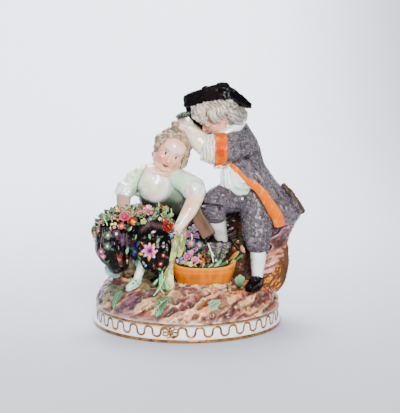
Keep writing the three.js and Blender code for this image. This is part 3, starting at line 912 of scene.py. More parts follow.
class Crag:
    """The rocks that carry the figures, the gilt-flecked trunk beside them and the squared post."""

    def build(self) -> list[Piece]:
        """Model and dress the rocks, the trunk and the post."""
        return [self.rocks(), self.trunk(), self.post()]

    def rocks(self) -> Piece:
        """Heap the seat, the niche and the crag behind the boy."""
        clay = Clay("crag")
        clay.ball((-20, 6, 38), (23, 19, 22), (0, 0, 15))
        clay.ball((4, 7, 46), (16, 13, 24))
        clay.ball((28, 9, 44), (14, 9, 20), (0, 0, 30))
        crag = [
            (38, 16, 14, 14, 18), (41, 15, 30, 15, 18), (44, 14, 42, 15, 16), (50, 12, 50, 13, 14),
            (52.5, 10, 58, 13, 13), (53, 10, 62, 10, 10),
        ]
        clay.stack(crag, folds=(4, 0.06))
        clay.roll([(20, -3, 30), (20, -4, 46)], [10, 9])
        for joints, widths in (
            ([(62, 5, 60), (59.4, 1, 55.6), (54, -1.4, 51.4), (46, -2, 50)], [3.2, 4.6, 4.8, 3.6]),
            ([(63, 6, 57), (58, 3, 50), (52.6, 0, 43.6), (45, -2.4, 41)], [2.8, 4.2, 4.8, 4]),
            ([(57, 2, 45), (53.4, -1.4, 38.6), (48.6, -3, 33), (45, -3, 31)], [3, 4.2, 4.6, 4]),
            ([(48, -1, 62), (55, 0, 60.6), (61, 3, 61.6)], [3.4, 4.2, 3]),
            ([(30, -1, 26), (31, -2, 34), (34, -1, 45), (33, 0, 58)], [5, 4.4, 3.6, 3]),
        ):
            clay.roll(joints, widths)
        for at, radii in (
            ((30, 8, 66), (10, 7, 9)), ((11, 5, 64), (9, 7, 11)), ((22, 8, 58), (10, 8, 12)),
            ((0, 1, 66), (9, 7, 9)),
        ):
            clay.ball(at, radii)
        skin = clay.press(0.6, 3, tint(220, 180, 168))
        tilted = Mound.slanted(skin.points)
        crest = 1 - np.abs(cloud(tilted, 12, 41, (2.6, 1, 1))) * 1.5
        skin.push(1.3 * (crest - 0.6) + 0.2 * skin.cloud(5, 43))
        skin.read()
        x, y, z = skin.points.T
        for seed, size, low, high, colour, share in (
            (51, 14, -0.1, 0.15, tint(168, 128, 150), 0.9),
            (52, 12, 0.1, 0.3, tint(124, 94, 134), 0.85),
            (53, 10, 0.3, 0.45, tint(164, 100, 80), 0.75),
            (55, 8, 0.5, 0.65, tint(206, 164, 104), 0.6),
        ):
            skin.wash(colour, share * soft_step(cloud(tilted, size, seed, (4, 1.2, 1)), low, high))
        # Painted highlight along the ridges' crests, and painted shade in the hollows between them.
        skin.wash(tint(234, 214, 210), 0.6 * soft_step(crest, 0.8, 1.0))
        skin.wash(tint(104, 56, 56), 0.6 * soft_step(0.4 - crest, 0.0, 0.3))
        seat = soft_step(-x, 4, 8) * soft_step(42 - z, 0, 5)
        skin.wash(tint(196, 184, 146), seat * 0.85)
        skin.wash(tint(120, 130, 84), seat * 0.7 * skin.patch(7, 56, 0.0, 0.3))
        # Painted shade: the niche under the boy's raised leg is laid near black.
        niche = soft_step(-np.hypot((x - 24) / 2.1, (z - 54) / 2.6) + 1.2 * skin.cloud(7, 57), -9.5, -6.5)
        skin.wash((0.006, 0.003, 0.002), niche * soft_step(-y, -30, -16) * 0.98)
        for px, pz, reach, colour in (
            (33.5, 58, 2.6, tint(176, 92, 56)), (32.6, 50, 2.6, tint(110, 124, 70)),
            (30, 44, 3, tint(176, 92, 56)), (35, 36, 4, tint(150, 96, 60)), (30, 30, 3, tint(96, 110, 66)),
        ):
            skin.wash(colour, 0.75 * bump((x - px) / reach, (z - pz) / reach / 1.5) * soft_step(-y, -8, -3))
        # Painted shade: brown low on the crag, left of the boy's standing leg.
        under = soft_step(-np.hypot((x - 31) / 1.6, (z - 33) / 1.5), -8, -5)
        skin.wash(BROWN, under * 0.8 * soft_step(-y, -20, -10))
        return skin.dress(ROCK, 0.35)

    def trunk(self) -> Piece:
        """Roll the short tree trunk at the right and flake its bark."""
        clay = Clay("gilt_trunk")
        clay.roll([(49, 3, 18), (55.6, 3, 26), (58.6, 4, 37), (58.2, 5, 52)], [5.0, 5.0, 4.2, 2.6])
        clay.roll([(47, -3, 20), (50.6, -2.4, 27), (55, 0, 35)], [4.4, 4.6, 3.4])
        skin = clay.press(0.5, 3, tint(156, 96, 62))
        bark = skin.cloud(9, 61, (1, 1, 3)) * 0.4 + skin.cloud(2.6, 62) * 0.08
        skin.push(bark)
        skin.wash(tint(124, 68, 42), soft_step(-bark, 0.0, 0.4) * 0.7)
        flecks = (
            skin.patch(2.2, 63, 0.35, 0.5) * soft_step(40 - skin.points[:, 2], 0, 8)
            * soft_step(57 - skin.points[:, 0], -1, 1)
        )
        skin.wash(tint(236, 190, 112), flecks * 0.8)
        return skin.dress(ENAMEL, 0.3)

    def post(self) -> Piece:
        """Square the wooden post that leans into the tub."""
        bpy.ops.mesh.primitive_cube_add(size=MM, scale=(8.4, 6, 20))
        piece = bpy.context.object
        piece.name = piece.data.name = "leaning_post"
        bpy.ops.object.transform_apply(location=False, rotation=False, scale=True)
        finish_with(piece, "BEVEL", width=0.9 * MM, segments=3)
        with editing(piece):
            bpy.ops.mesh.subdivide(number_cuts=8)
        skin = Surface(piece, tint(164, 130, 104))
        grain = skin.cloud(3.2, 71, (1, 1, 7))
        skin.push(grain * 0.22)
        lean = Matrix.Rotation(math.radians(-29.8), 3, "Y") @ Matrix.Rotation(math.radians(-17.2), 3, "X")
        put_points(piece, points_of(piece) @ np.array(lean).T + np.array([8.6, -11.4, 63.4]))
        bpy.ops.object.shade_smooth_by_angle(angle=math.radians(40))
        skin.wash(tint(112, 84, 64), soft_step(grain, 0.1, 0.8) * 0.6)
        return skin.dress(ENAMEL)


@dataclass
class Tub:
    """The oval wooden tub with its horned ends."""

    at: tuple[float, float] = (9.8, -16.0)
    foot: tuple[float, float] = (15.5, 9.5)
    mouth: tuple[float, float] = (19.8, 12.0)
    bottom: float = 27.8
    rim: float = 38.4
    horn: float = 2.6

    def build(self) -> list[Piece]:
        """Coop the tub from a drum: taper it, raise its horned ends, and hollow it."""
        bpy.ops.mesh.primitive_cylinder_add(vertices=96, radius=MM, depth=MM, end_fill_type="NGON")
        piece = bpy.context.object
        piece.name = piece.data.name = "flower_tub"
        with editing(piece, "DESELECT"):
            bpy.ops.mesh.select_mode(type="FACE")
        for face in piece.data.polygons:
            face.select = face.normal.z > 0.5
        bpy.ops.object.mode_set(mode="EDIT")
        bpy.ops.mesh.inset(thickness=0.085 * MM)
        bpy.ops.mesh.extrude_region_move(TRANSFORM_OT_translate={"value": (0, 0, -0.35 * MM)})
        bpy.ops.object.mode_set(mode="OBJECT")
        for height in np.linspace(-0.42, 0.42, 9):
            with editing(piece):
                bpy.ops.mesh.bisect(plane_co=(0, 0, height * MM), plane_no=(0, 0, 1))
        put_points(piece, self.tapered(points_of(piece)))
        finish_with(piece, "BEVEL", width=0.35 * MM, segments=2, limit_method="ANGLE")
        bpy.ops.object.shade_smooth_by_angle(angle=math.radians(50))
        skin = Surface(piece, OCHRE)
        x, y, z = skin.points.T
        share = np.clip((z - self.bottom) / (self.rim - self.bottom), 0, 1.4)
        staves = np.abs(
            np.sin(np.arctan2((y - self.at[1]) / self.foot[1], (x - self.at[0]) / self.foot[0]) * 11)
        )
        skin.mottle((0.4, 0.07, 0.001), 0.6, 6, 81, -0.2, 0.5, (1, 1, 2.4))
        skin.wash((0.34, 0.08, 0.004), bump(staves / 0.16) * 0.45)
        for level, width in ((0.16, 0.05), (0.72, 0.06)):
            skin.wash((0.86, 0.32, 0.01), bump((share - level) / width) * 0.5)
        skin.wash((0.3, 0.05, 0.001), 0.7 * bump((share - 0.07) / 0.035))
        skin.wash((0.84, 0.32, 0.012), soft_step(share, 0.9, 0.98) * 0.8)
        return [skin.dress(ENAMEL), self.footing()]

    def tapered(self, points: Array) -> Array:
        """Carry the drum's places to the tub: narrower at its foot, bulged, and horned at its ends."""
        x, y, z = points.T
        share = z + 0.5
        swell = 1 + 0.04 * np.sin(math.pi * share)
        horns = np.abs(np.cos(np.arctan2(y, x))) ** 6 * np.clip(share, 0, 1) ** 1.5 * (np.hypot(x, y) > 0.5)
        wide, deep = (foot + (mouth - foot) * share for foot, mouth in zip(self.foot, self.mouth))
        height = self.bottom - 1 + (self.rim - self.bottom + 1) * share + self.horn * horns
        return np.stack([self.at[0] + x * wide * swell, self.at[1] + y * deep * swell, height], 1)

    def footing(self) -> Piece:
        """Bed the tub on a cream foot of clay."""
        clay = Clay("tub_footing")
        clay.stack([(*self.at, 22, 17.4, 11.6), (*self.at, 26.8, 16.8, 11), (*self.at, 28.2, 15.2, 9.4)])
        skin = clay.press(0.5, 2, tint(204, 168, 152))
        skin.push(skin.cloud(6, 82) * 0.5)
        skin.mottle(tint(126, 92, 116), 0.8, 9, 83, 0.0, 0.4, (2, 1, 1))
        skin.mottle(CREAM, 0.7, 6, 84, 0.2, 0.5, (2, 1, 1))
        return skin.dress(ROCK)


@dataclass
class Head:
    """A child's head of calm, even design, modelled upright with its face towards -Y."""

    name: str
    at: Point
    turns: tuple[tuple[float, str], ...]
    blush: float = 1.0
    tilt: Matrix = field(init=False)

    def __post_init__(self) -> None:
        """Work out how the upright head is turned into its place."""
        self.tilt = Matrix.Identity(3)
        for degrees, axis in self.turns:
            self.tilt = Matrix.Rotation(math.radians(degrees), 3, axis) @ self.tilt

    def place(self, points: Array) -> Array:
        """Carry places from the upright head to the group."""
        return points @ np.array(self.tilt).T + np.array(self.at)

    def settle(self, piece: Piece) -> None:
        """Carry a piece from the upright head to the group."""
        put_points(piece, self.place(points_of(piece)))

    def build(self) -> Piece:
        """Model, paint and place the head."""
        clay = Clay(self.name)
        clay.ball((0, 1.5, 3.2), (9.6, 10.4, 9.4))
        clay.ball((0, -1.5, -3), (8, 8.4, 9.2))
        clay.ball((0, -3.2, 4), (7.8, 6.4, 6))
        clay.ball((0, -7.2, -9.8), (2.8, 2.5, 2.3))
        clay.roll([(0, -9.2, 0.8), (0, -10.2, -1.6), (0, -11.1, -3.3)], [0.8, 1.0, 1.35], sides=12)
        clay.roll([(-2.2, -8.7, -6.5), (0, -10.0, -6.2), (2.2, -8.7, -6.5)], [0.3, 0.62, 0.3], sides=12)
        clay.roll([(-1.7, -8.7, -7.3), (0, -9.7, -7.6), (1.7, -8.7, -7.3)], [0.3, 0.68, 0.3], sides=12)
        for side in (-1, 1):
            clay.ball((4 * side, -5.9, -4.4), (3.9, 3.6, 4.2))
            clay.ball((1.15 * side, -9.9, -3.5), (0.95, 1.1, 0.85))
            clay.ball((9 * side, 0.8, -1.8), (1.1, 2.0, 3.0), (0, 0, 15 * side))
            clay.roll([(7 * side, 0, -5.5), (4.6 * side, -4.4, -9.3), (0, -6.8, -10.3)], [2.7, 2.4, 2.2])
        skin = clay.press(0.24, 5, FLESH_PINK)
        x, y, z = skin.points.T
        front = soft_step(-y, 3, 7)
        for side in (-1, 1):
            dx, dz = x - 3.5 * side, z + 0.3
            y = y + front * bump(dx / 2.1, dz / 1.5)
            y = y - front * 0.75 * bump(dx / 1.5, (dz + 0.1) / 0.85)
        y = y + front * 0.4 * bump((z + 6.95 + 0.05 * x * x) / 0.25, (x / 2.2) ** 2)
        put_points(skin.piece, np.stack([x, y, z], 1))
        skin.read()
        self.paint(skin, soft_step(-y, 3, 7))
        self.settle(skin.piece)
        return skin.dress(FLESH)

    def paint(self, skin: Surface, front: Array) -> None:
        """Paint the blushed cheeks, the lips, the eyes and the brows."""
        x, y, z = skin.points.T
        skin.wash(WHITE, front * 0.5 * bump(x / 6, (z - 4.5) / 3.5))
        for side in (-1, 1):
            cheek = bump((x - 5.0 * side) / 2.6, (z + 4.4) / 2.5)
            skin.wash(BLUSH, front * 0.72 * self.blush * cheek)
            dx, dz = x - 3.5 * side, z + 0.3
            white = soft_step(1 - (dx / 1.55) ** 2 - (dz / 0.8) ** 2, 0.0, 0.4)
            skin.wash(WHITE, front * white * 0.9)
            dark = soft_step(1 - ((dx + 0.1 * side) / 0.75) ** 2 - ((dz + 0.05) / 0.8) ** 2, 0.0, 0.4)
            skin.wash(tint(52, 32, 24), front * dark)
            lid = bump((dz - 0.85 + 0.26 * dx * dx) / 0.24) * soft_step(1.9 - np.abs(dx), 0, 0.5)
            skin.wash(tint(96, 58, 44), front * lid * 0.9)
            lower = bump((dz + 0.85 - 0.2 * dx * dx) / 0.2) * soft_step(1.5 - np.abs(dx), 0, 0.5)
            skin.wash(tint(176, 120, 96), front * lower * 0.5)
            brow = bump((dz - 2.5 + 0.16 * dx * dx) / 0.3) * soft_step(2.1 - np.abs(dx), 0, 0.9)
            skin.wash(tint(134, 104, 82), front * brow * 0.75)
            nostril = bump((x - 0.7 * side) / 0.35, (z + 4.25) / 0.25)
            skin.wash(tint(186, 84, 66), front * nostril * 0.8)
            skin.wash(BLUSH, 0.5 * soft_step(np.abs(x) - 8.6, 0.2, 1.0) * bump((y - 0.8) / 2.4))
        lips = soft_step(1 - (x / 2.3) ** 2 - ((z + 6.95) / 1.05) ** 2, 0.0, 0.35)
        skin.wash(tint(214, 84, 62), front * lips * 0.9)
        seam = bump((z + 6.95 + 0.05 * x * x) / 0.2) * soft_step(2.0 - np.abs(x), 0, 0.5)
        skin.wash(tint(140, 34, 26), front * seam)


@dataclass
class Girl:
    """The seated girl: head, hair, blouse, bare arms, black flowered skirt, and one foot."""

    head: Head = field(
        default_factory=lambda: Head("girl_head", (-9, -12, 107.2), ((4, "Z"), (14, "X"), (28, "Y")))
    )

    def build(self) -> list[Piece]:
        """Model and dress the whole figure."""
        skirt = self.skirt()
        return [
            self.head.build(),
            self.hair(),
            self.neck(),
            self.blouse(),
            self.arms(),
            skirt,
            self.petticoat(),
            self.drape(),
            self.stocking(),
            self.shoe(),
        ]

    def hair(self) -> Piece:
        """Comb the hair back in fine waves, with rolls at the sides and a knot on the crown."""
        clay = Clay("girl_hair")
        clay.ball((0, 3.0, 3.2), (10.5, 10.2, 10.3))
        clay.ball((0, 6.5, -3), (8.6, 6.5, 7.5))
        clay.roll(
            [(-8.6, -3.2, 5.8), (-5.0, -4.7, 9.7), (0, -4.7, 11.0), (5.0, -4.7, 9.7), (8.6, -3.2, 5.8)],
            [1.2, 1.6, 1.4, 1.6, 1.2],
        )
        for side in (-1, 1):
            for k in range(4):
                angle = math.radians(60 + 19 * k)
                x, z = 9.3 * side * math.sin(angle), 9.3 * math.cos(angle)
                y = -2.8 + 1.4 * k
                clay.roll(
                    [(x, y - 2.8, z), (x * 1.02, y, z), (x, y + 4, z)],
                    [(2.6, 1.5), (3.2, 1.8), (2.8, 1.6)], flat=(z, 0, -x),
                )
            clay.roll([(5.5 * side, 8, -6), (6.5 * side, 6, -10), (6 * side, 4.5, -12.5)], [2.6, 2.2, 1.2])
        clay.ball((9.9, 1.0, -4.4), (2.5, 4.2, 4.2))
        clay.ball((-10.2, 0.4, 2.4), (2.3, 4.0, 3.6))
        clay.ball((-5.4, 1.6, 14.6), (2.7, 2.6, 2.5))
        clay.roll([(-4.4, 2, 11), (-5.2, 1.6, 13.2)], [2.6, 1.7])
        skin = clay.press(0.3, 5, tint(196, 176, 148))
        x, y, z = skin.points.T
        around = np.arctan2(x, z + 1.5) + 0.06 * y
        comb = (
            np.sin(around * 21 + 1.2 * np.sin(y * 0.5) + 1.4 * skin.cloud(6, 90))
            * soft_step(np.hypot(x, z), 2, 5)
        )
        strand = np.sin(around * 60 + 2.0 * skin.cloud(5, 93))
        move = 0.12 * comb + 0.06 * strand + 0.3 * skin.cloud(6, 91)
        skin.push(move)
        # Painted shade: darker in the comb's grooves, at the sides and underneath.
        skin.wash(tint(140, 112, 84), soft_step(-comb, 0.0, 1.0) * 0.6)
        skin.wash(tint(150, 122, 96), soft_step(np.abs(x), 7.5, 10.5) * 0.6 + 0.35 * soft_step(-z, -2, 6))
        skin.wash(tint(128, 100, 76), soft_step(strand, 0.3, 1.0) * 0.35)
        skin.mottle(tint(216, 204, 184), 0.5, 5, 92, 0.1, 0.6)
        self.head.settle(skin.piece)
        return skin.dress(HAIR, 0.15)

    def neck(self) -> Piece:
        """Roll the neck and the bare top of the breast."""
        clay = Clay("girl_neck")
        clay.roll([(-15.4, -8.5, 92), (-13.8, -9.8, 96), (-11, -10, 100)], [6.6, 5.2, 4.7])
        clay.ball((-15.2, -11.6, 94), (7.6, 5, 4.4))
        skin = clay.press(0.4, 4, FLESH_PINK)
        return skin.dress(FLESH)

    def blouse(self) -> Piece:
        """Gather the pale blouse: full sleeves, a rounded front and a drawn neckline."""
        clay = Clay("girl_blouse")
        clay.stack(
            [
                (-15, 2, 62, 13, 8), (-15.4, 0, 70, 13, 7.6), (-16.4, -4, 77, 13, 7.6),
                (-17.6, -6, 84, 13, 8.4), (-17.4, -7.4, 90, 12.6, 7.6), (-16.0, -8.4, 95, 8.8, 6),
            ]
        )
        for at, radii in (
            ((-20.6, -10.4, 86.2), (8.8, 7, 11)), ((-18, -10.4, 86.2), (8.8, 7, 11)),
            ((-19.3, -10.8, 84.8), (8.4, 7.2, 10.2)), ((-19.2, -9.6, 92), (10.4, 6.8, 6.6)),
            ((-5, -6, 77), (8, 6, 11)), ((-30.2, -5.4, 84.0), (4.6, 4.2, 6.0)),
        ):
            clay.ball(at, radii)
        clay.roll(
            [(-20, -7.6, 94.4), (-26, -8, 91.8), (-32, -9.8, 87.6), (-36, -12, 83.8)], [4.8, 5.8, 6.2, 5.2],
        )
        clay.roll(
            [(-36.2, -12, 83.8), (-38.4, -14, 80.2)], [6.2, 5.2], pleats=(9, 0.06), sides=36, bulge=0.5,
        )
        clay.roll(
            [(-11, -8.6, 92.8), (-5, -10, 89.4), (1.4, -12.6, 86.2), (4.8, -15.4, 83.8)],
            [5.0, 6.2, 7.2, 6.8],
        )
        clay.roll([(4.6, -15.4, 84), (3.8, -18.6, 80.8)], [6.9, 6.0], pleats=(9, 0.06), sides=36, bulge=0.5)
        clay.roll(
            [(-23.8, -9.6, 97), (-21.4, -15, 94.8), (-16.4, -17.4, 94), (-11, -15.6, 93.8), (-8, -10, 94.8)],
            [0.5, 0.6, 0.6, 0.6, 0.5],
        )
        skin = clay.press(0.36, 5, tint(208, 222, 208))
        x, y, z = skin.points.T
        left, right = soft_step(x, -6, 0), soft_step(-x, 28, 31)
        gathers = np.sin(np.arctan2(z - 104, x + 16) * 16 + 1.2 * skin.cloud(12, 102)) * left
        gathers = gathers + np.sin(np.arctan2(z - 104, x + 20) * 16 + 1.2 * skin.cloud(12, 103)) * right
        egg = np.hypot((x + 19.3) / 10.2, (z - 86.4) / 11.8)
        facing = soft_step(-y, 8, 12)
        front = facing * soft_step(-egg, -1.12, -0.7)
        rim = facing * bump((egg - 1.1) / 0.1) * soft_step(84 - z - 0.2 * (x + 19), 0, 6)
        # One drawn seam runs down from the neck on the left of the rounded front.
        line = np.interp(z, [79.5, 86.8, 92.5, 97.4], [-30.2, -29.2, -27.4, -25.2])
        seam = bump((x - line) / 0.45) * soft_step(-y, 6, 9) * soft_step(z, 79, 81)
        pulls = np.sin((x + 19) * 1.1 + 0.1 * (z - 90)) * facing * soft_step(z, 84, 94)
        move = (
            0.34 * gathers + 0.1 * pulls + 0.35 * skin.cloud(9, 101) * (left + right) - 0.3 * rim
            - 0.4 * seam
        )
        skin.push(move)
        # The puffed sleeve ends are whiter; less so where they face down, as painted shade.
        puff = soft_step(x, -4, 1) + soft_step(-x, 33.4, 35.4)
        skin.wash(tint(240, 240, 230), puff * (0.75 - 0.4 * soft_step(-skin.normals[:, 2], 0.1, 0.7)))
        # Painted shade: mint grey in the gathers' grooves and on the sleeves' downward faces.
        skin.wash(
            tint(180, 202, 184),
            soft_step(-gathers - skin.normals[:, 2] * 0.6, 0.1, 1.3) * 0.5 * (left + right),
        )
        # The rounded front is laid whiter, with a painted highlight to the right of its middle.
        skin.wash(tint(253, 250, 236), front * (0.7 + 0.3 * soft_step(x + 19 + 0.3 * (z - 86), -7, 2)))
        skin.wash(tint(204, 218, 202), front * skin.patch(8, 104, 0.1, 0.5, (1, 1, 1.6)) * 0.6)
        skin.wash(tint(240, 216, 198), front * skin.patch(9, 105, 0.15, 0.5) * 0.5)
        skin.wash(tint(232, 200, 184), 0.6 * facing * bump((x + 21.8) / 3, (z - 82) / 2.8))
        # Painted shade: a grey-green ring round the edge of the rounded front.
        skin.wash(
            tint(196, 206, 190), facing * 0.5 * soft_step(egg, 0.72, 0.98) * soft_step(-egg, -1.1, -1.0),
        )
        # Painted shade in the crease along the rounded front's lower edge.
        skin.wash(tint(150, 172, 152), rim * 0.55)
        skin.wash(tint(84, 108, 92), seam * 0.8)
        # Painted shadow: the waist below the rounded front, with the lump that fills the gap beside the arm,
        # goes dark olive and near black lower down.
        low = soft_step(85 - z + 0.25 * (x + 19), 0, 8) * soft_step(y, -15, -12) * soft_step(egg, 0.95, 1.1)
        skin.wash(tint(96, 108, 82), low * 0.8)
        skin.wash((0.02, 0.018, 0.01), low * soft_step(80 - z, 0, 6) * 0.9)
        skin.wash(tint(236, 184, 166), 0.6 * bump((x - 1.5) / 2.4, (z - 83.4) / 1.6) * soft_step(-y, 8, 12))
        skin.wash(tint(232, 206, 192), 0.5 * facing * soft_step(z, 92, 96))
        return skin.dress(GLAZE, 0.3)

    def arms(self) -> Piece:
        """Model both bare forearms, the hands sunk among the blossoms."""
        clay = Clay("girl_arms")
        clay.roll([(-37.8, -13.6, 81), (-37.8, -18.6, 75.6), (-35.2, -23, 71)], [4.6, 4.1, 3.1])
        clay.hand((-35.8, -22.6, 71.6), (0.35, -0.4, -0.5), (0.7, -0.5, 0.3), 1.05, 0.45)
        clay.roll([(5.6, -18.4, 80.6), (1.4, -23.6, 72.6), (-4.6, -28.4, 64)], [5.0, 4.6, 3.0])
        clay.hand((-4.6, -28.4, 63.6), (-0.42, -0.3, -0.85), (-0.9, -0.1, 0.3), 1.0, 0.7)
        skin = clay.press(0.3, 3, tint(236, 222, 212))
        x, _, z = skin.points.T
        # Painted shade: the forearm on the left is greyer and darker.
        skin.wash(tint(196, 176, 156), soft_step(-x, 26, 34) * 0.9)
        warm = skin.patch(12, 111, 0.1, 0.8) * 0.35 + 0.5 * bump((x - 2) / 5, (z - 78) / 4)
        skin.wash(tint(232, 176, 154), warm)
        skin.wash(tint(224, 172, 150), soft_step(64 - z, 0, 4) * 0.5)
        return skin.dress(FLESH)

    def skirt(self) -> Piece:
        """Drape the black skirt over both knees, fold it, and paint its flowers."""
        clay = Clay("girl_skirt")
        clay.stack(
            [
                (-18, 0, 70, 11, 9), (-19, 5, 60, 19, 16), (-19, 9, 48, 22.6, 19.6),
                (-19, 11, 36, 23.6, 21.6), (-19, 12, 25, 24.6, 23.6),
            ],
            folds=(9, 0.07),
        )
        level = (0, 1, 0)
        clay.roll(
            [(-38, -8, 66), (-42.5, -15, 58), (-43.6, -18, 48), (-41.4, -20, 40)],
            [(8, 9), (12, 12), (12, 11.8), (7.6, 7)], flat=level, sides=28,
        )
        clay.roll(
            [(-21, -16, 66), (-20.6, -25.4, 58.6), (-19.4, -30.4, 49), (-17, -33.4, 41), (-15.8, -35.2, 36)],
            [(9, 9), (9.4, 11.6), (9, 11), (6, 7), (1.8, 2)], flat=level, sides=28,
        )
        clay.roll([(-44, -8, 60), (-30, -12, 62), (-14, -12, 61)], [(12, 7), (14, 7), (11, 6)], flat=level)
        for line, widths in (
            ([(-30.6, -19, 65), (-32.6, -28, 56), (-31, -28.6, 44)], [1.8, 2.4, 1.4]),
            ([(-13.2, -28, 63), (-11.2, -34.4, 52), (-13.4, -36, 41)], [1.6, 2.4, 1.4]),
            ([(-26, -32, 64), (-28, -38.4, 52), (-24, -37.4, 41)], [1.4, 2.2, 1.5]),
            ([(-50, -24, 61), (-51.4, -26.6, 50), (-47, -26.6, 42)], [1.6, 2.2, 1.5]),
            ([(-41.6, -26.6, 60), (-40.4, -30.8, 50), (-39, -29.4, 40.6)], [1.4, 2.2, 1.5]),
            ([(-20, -37, 60), (-19, -41.6, 50), (-18.6, -39, 40)], [1.2, 1.8, 1.2]),
            ([(-36, -26, 58), (-35.4, -29.6, 49), (-35.6, -28.6, 41.6)], [1.2, 1.6, 1.2]),
        ):
            clay.roll(line, widths, sides=12)
        skin = clay.press(0.45, 5, BLACK)
        x, y, z = skin.points.T
        fan = np.sin(np.arctan2(z - 76, x + 24) * 15 + 0.7 * np.sin(z * 0.3))
        move = 0.2 * fan * soft_step(-y, 20, 26) + 0.35 * skin.cloud(16, 121, (1, 1, 2))
        skin.push(move)
        skin.read()
        self.embroider(skin)
        return skin.dress(GLOSS, 0.3)

    def embroider(self, skin: Surface) -> None:
        """Paint blossoms, buds, leaves and drops on the black ground."""
        x, y, z = skin.points.T
        skin.wash((0.02, 0.009, 0.012), 0.7 * skin.patch(9, 123, 0.25, 0.7, (1, 1, 2)))
        # Painted sheen: a brown-mauve arch along the top of the fold over the knee.
        arch = 65.6 - 0.055 * (x + 20) ** 2 + 0.5 * np.sin(x * 0.8)
        skin.wash(tint(126, 92, 90), 0.8 * bump((z - arch) / 1.3) * soft_step(9 - np.abs(x + 20), 0, 3))
        for u, v, kind, size, petal, heart in (
            (-22.3, 51.5, "daisy", 4.9, tint(226, 178, 214), tint(176, 70, 140)),
            (-41.2, 44.4, "aster", 4.3, tint(176, 62, 46), SALMON),
            (-31.2, 48.6, "bell", 3.4, BLUE, PALE_BLUE),
            (-20.5, 42.6, "rose", 2.1, RUST, YELLOW),
            (-38.0, 55.4, "aster", 4.2, tint(124, 80, 112), tint(164, 116, 146)),
        ):
            skin.flower(skin.front(u, v), kind, size, petal, heart)
        for u, v, size, colour in (
            (-13.2, 48.8, 1.6, SCARLET),
            (-14.7, 43.0, 1.7, SCARLET),
            (-23.4, 42.2, 0.9, PALE_BLUE),
            (-51.0, 49.0, 2.3, tint(176, 110, 140)),
            (-49.8, 44.8, 1.9, tint(214, 136, 170)),
            (-42.4, 60.0, 3.0, tint(128, 82, 124)),
            (-47.6, 58.6, 2.9, tint(134, 144, 122)),
            (-47.6, 52.6, 2.6, tint(112, 148, 142)),
            (-43.6, 53.6, 1.8, tint(76, 62, 110)),
            (-33.1, 40.9, 1.3, CREAM),
            (-35.6, 42.6, 1.0, tint(200, 170, 140)),
        ):
            skin.flower(skin.front(u, v), "rose", size, colour, CREAM)
        for u, v, turn, size, colour in (
            (-22.2, 59.6, 20, 1.9, PALE_LEAF),
            (-19.9, 62.4, -60, 1.6, WHITE),
            (-16.6, 57.4, -40, 1.7, PALE_LEAF),
            (-13.2, 54.6, -10, 1.9, WHITE),
            (-31.0, 58.0, -15, 1.9, PALE_LEAF),
            (-35.2, 48.6, -15, 2.4, PALE_LEAF),
            (-28.4, 46.6, 15, 2.3, LEAF),
            (-28.2, 56.2, -20, 2.2, BLUE),
            (-25.6, 43.4, 30, 1.5, PALE_LEAF),
            (-15.8, 39.4, 60, 1.6, PALE_LEAF),
            (-46.6, 41.8, -50, 1.8, LEAF),
            (-38.6, 39.8, 80, 1.6, LEAF),
            (-44.2, 49.6, 60, 1.7, LEAF),
            (-25.4, 55.2, 35, 1.7, YELLOW),
            (-19.8, 55.8, -35, 1.7, YELLOW),
            (-26.4, 50.2, 80, 1.6, YELLOW),
            (-17.9, 50.4, -80, 1.7, YELLOW),
            (-22.9, 46.2, 0, 1.9, YELLOW),
        ):
            skin.leaf(skin.front(u, v), turn, size, colour)
        rng = np.random.default_rng(124)
        quiet = (
            tint(104, 112, 96), tint(112, 82, 104), tint(150, 140, 118), tint(120, 66, 56),
            tint(70, 84, 120),
        )
        fronts = np.flatnonzero((y < -20) & (np.abs(z - 50) < 14) & (np.hypot(x + 22, z - 51) > 7))
        for k, row in enumerate(rng.choice(fronts, 110)):
            if k % 3:
                skin.leaf(skin.points[row], 360 * rng.random(), 0.9 + 0.9 * rng.random(), quiet[k % 5])
            else:
                skin.spot(skin.points[row], 0.4 + 0.5 * rng.random(), quiet[k % 4])
        hidden = np.flatnonzero((y > -18) & (z < 66))
        for k, row in enumerate(rng.choice(hidden, 56)):
            if k % 2:
                petal = (SCARLET, YELLOW, ORANGE)[k % 6 // 2]
                skin.flower(skin.points[row], "rose", 1.8 + 1.8 * rng.random(), petal, CREAM)
            else:
                skin.leaf(
                    skin.points[row], 360 * rng.random(), 1.6 + rng.random(), (LEAF, PALE_LEAF)[k % 4 // 2],
                )

    def petticoat(self) -> Piece:
        """Let the pale petticoat show below the skirt's left edge and behind the foot."""
        clay = Clay("girl_petticoat")
        clay.ball((-45.0, -8.6, 32.8), (5.2, 8, 3.6), (0, 28, 0))
        clay.ball((-24, -15, 40), (8.4, 9, 5))
        skin = clay.press(0.45, 4, tint(190, 214, 204))
        folds = np.sin(np.arctan2(skin.points[:, 1] + 12, skin.points[:, 0] + 36) * 18)
        skin.push(folds * 0.5)
        skin.mottle(tint(144, 176, 160), 0.7, 8, 129, -0.1, 0.5)
        return skin.dress(GLAZE, 0.25)

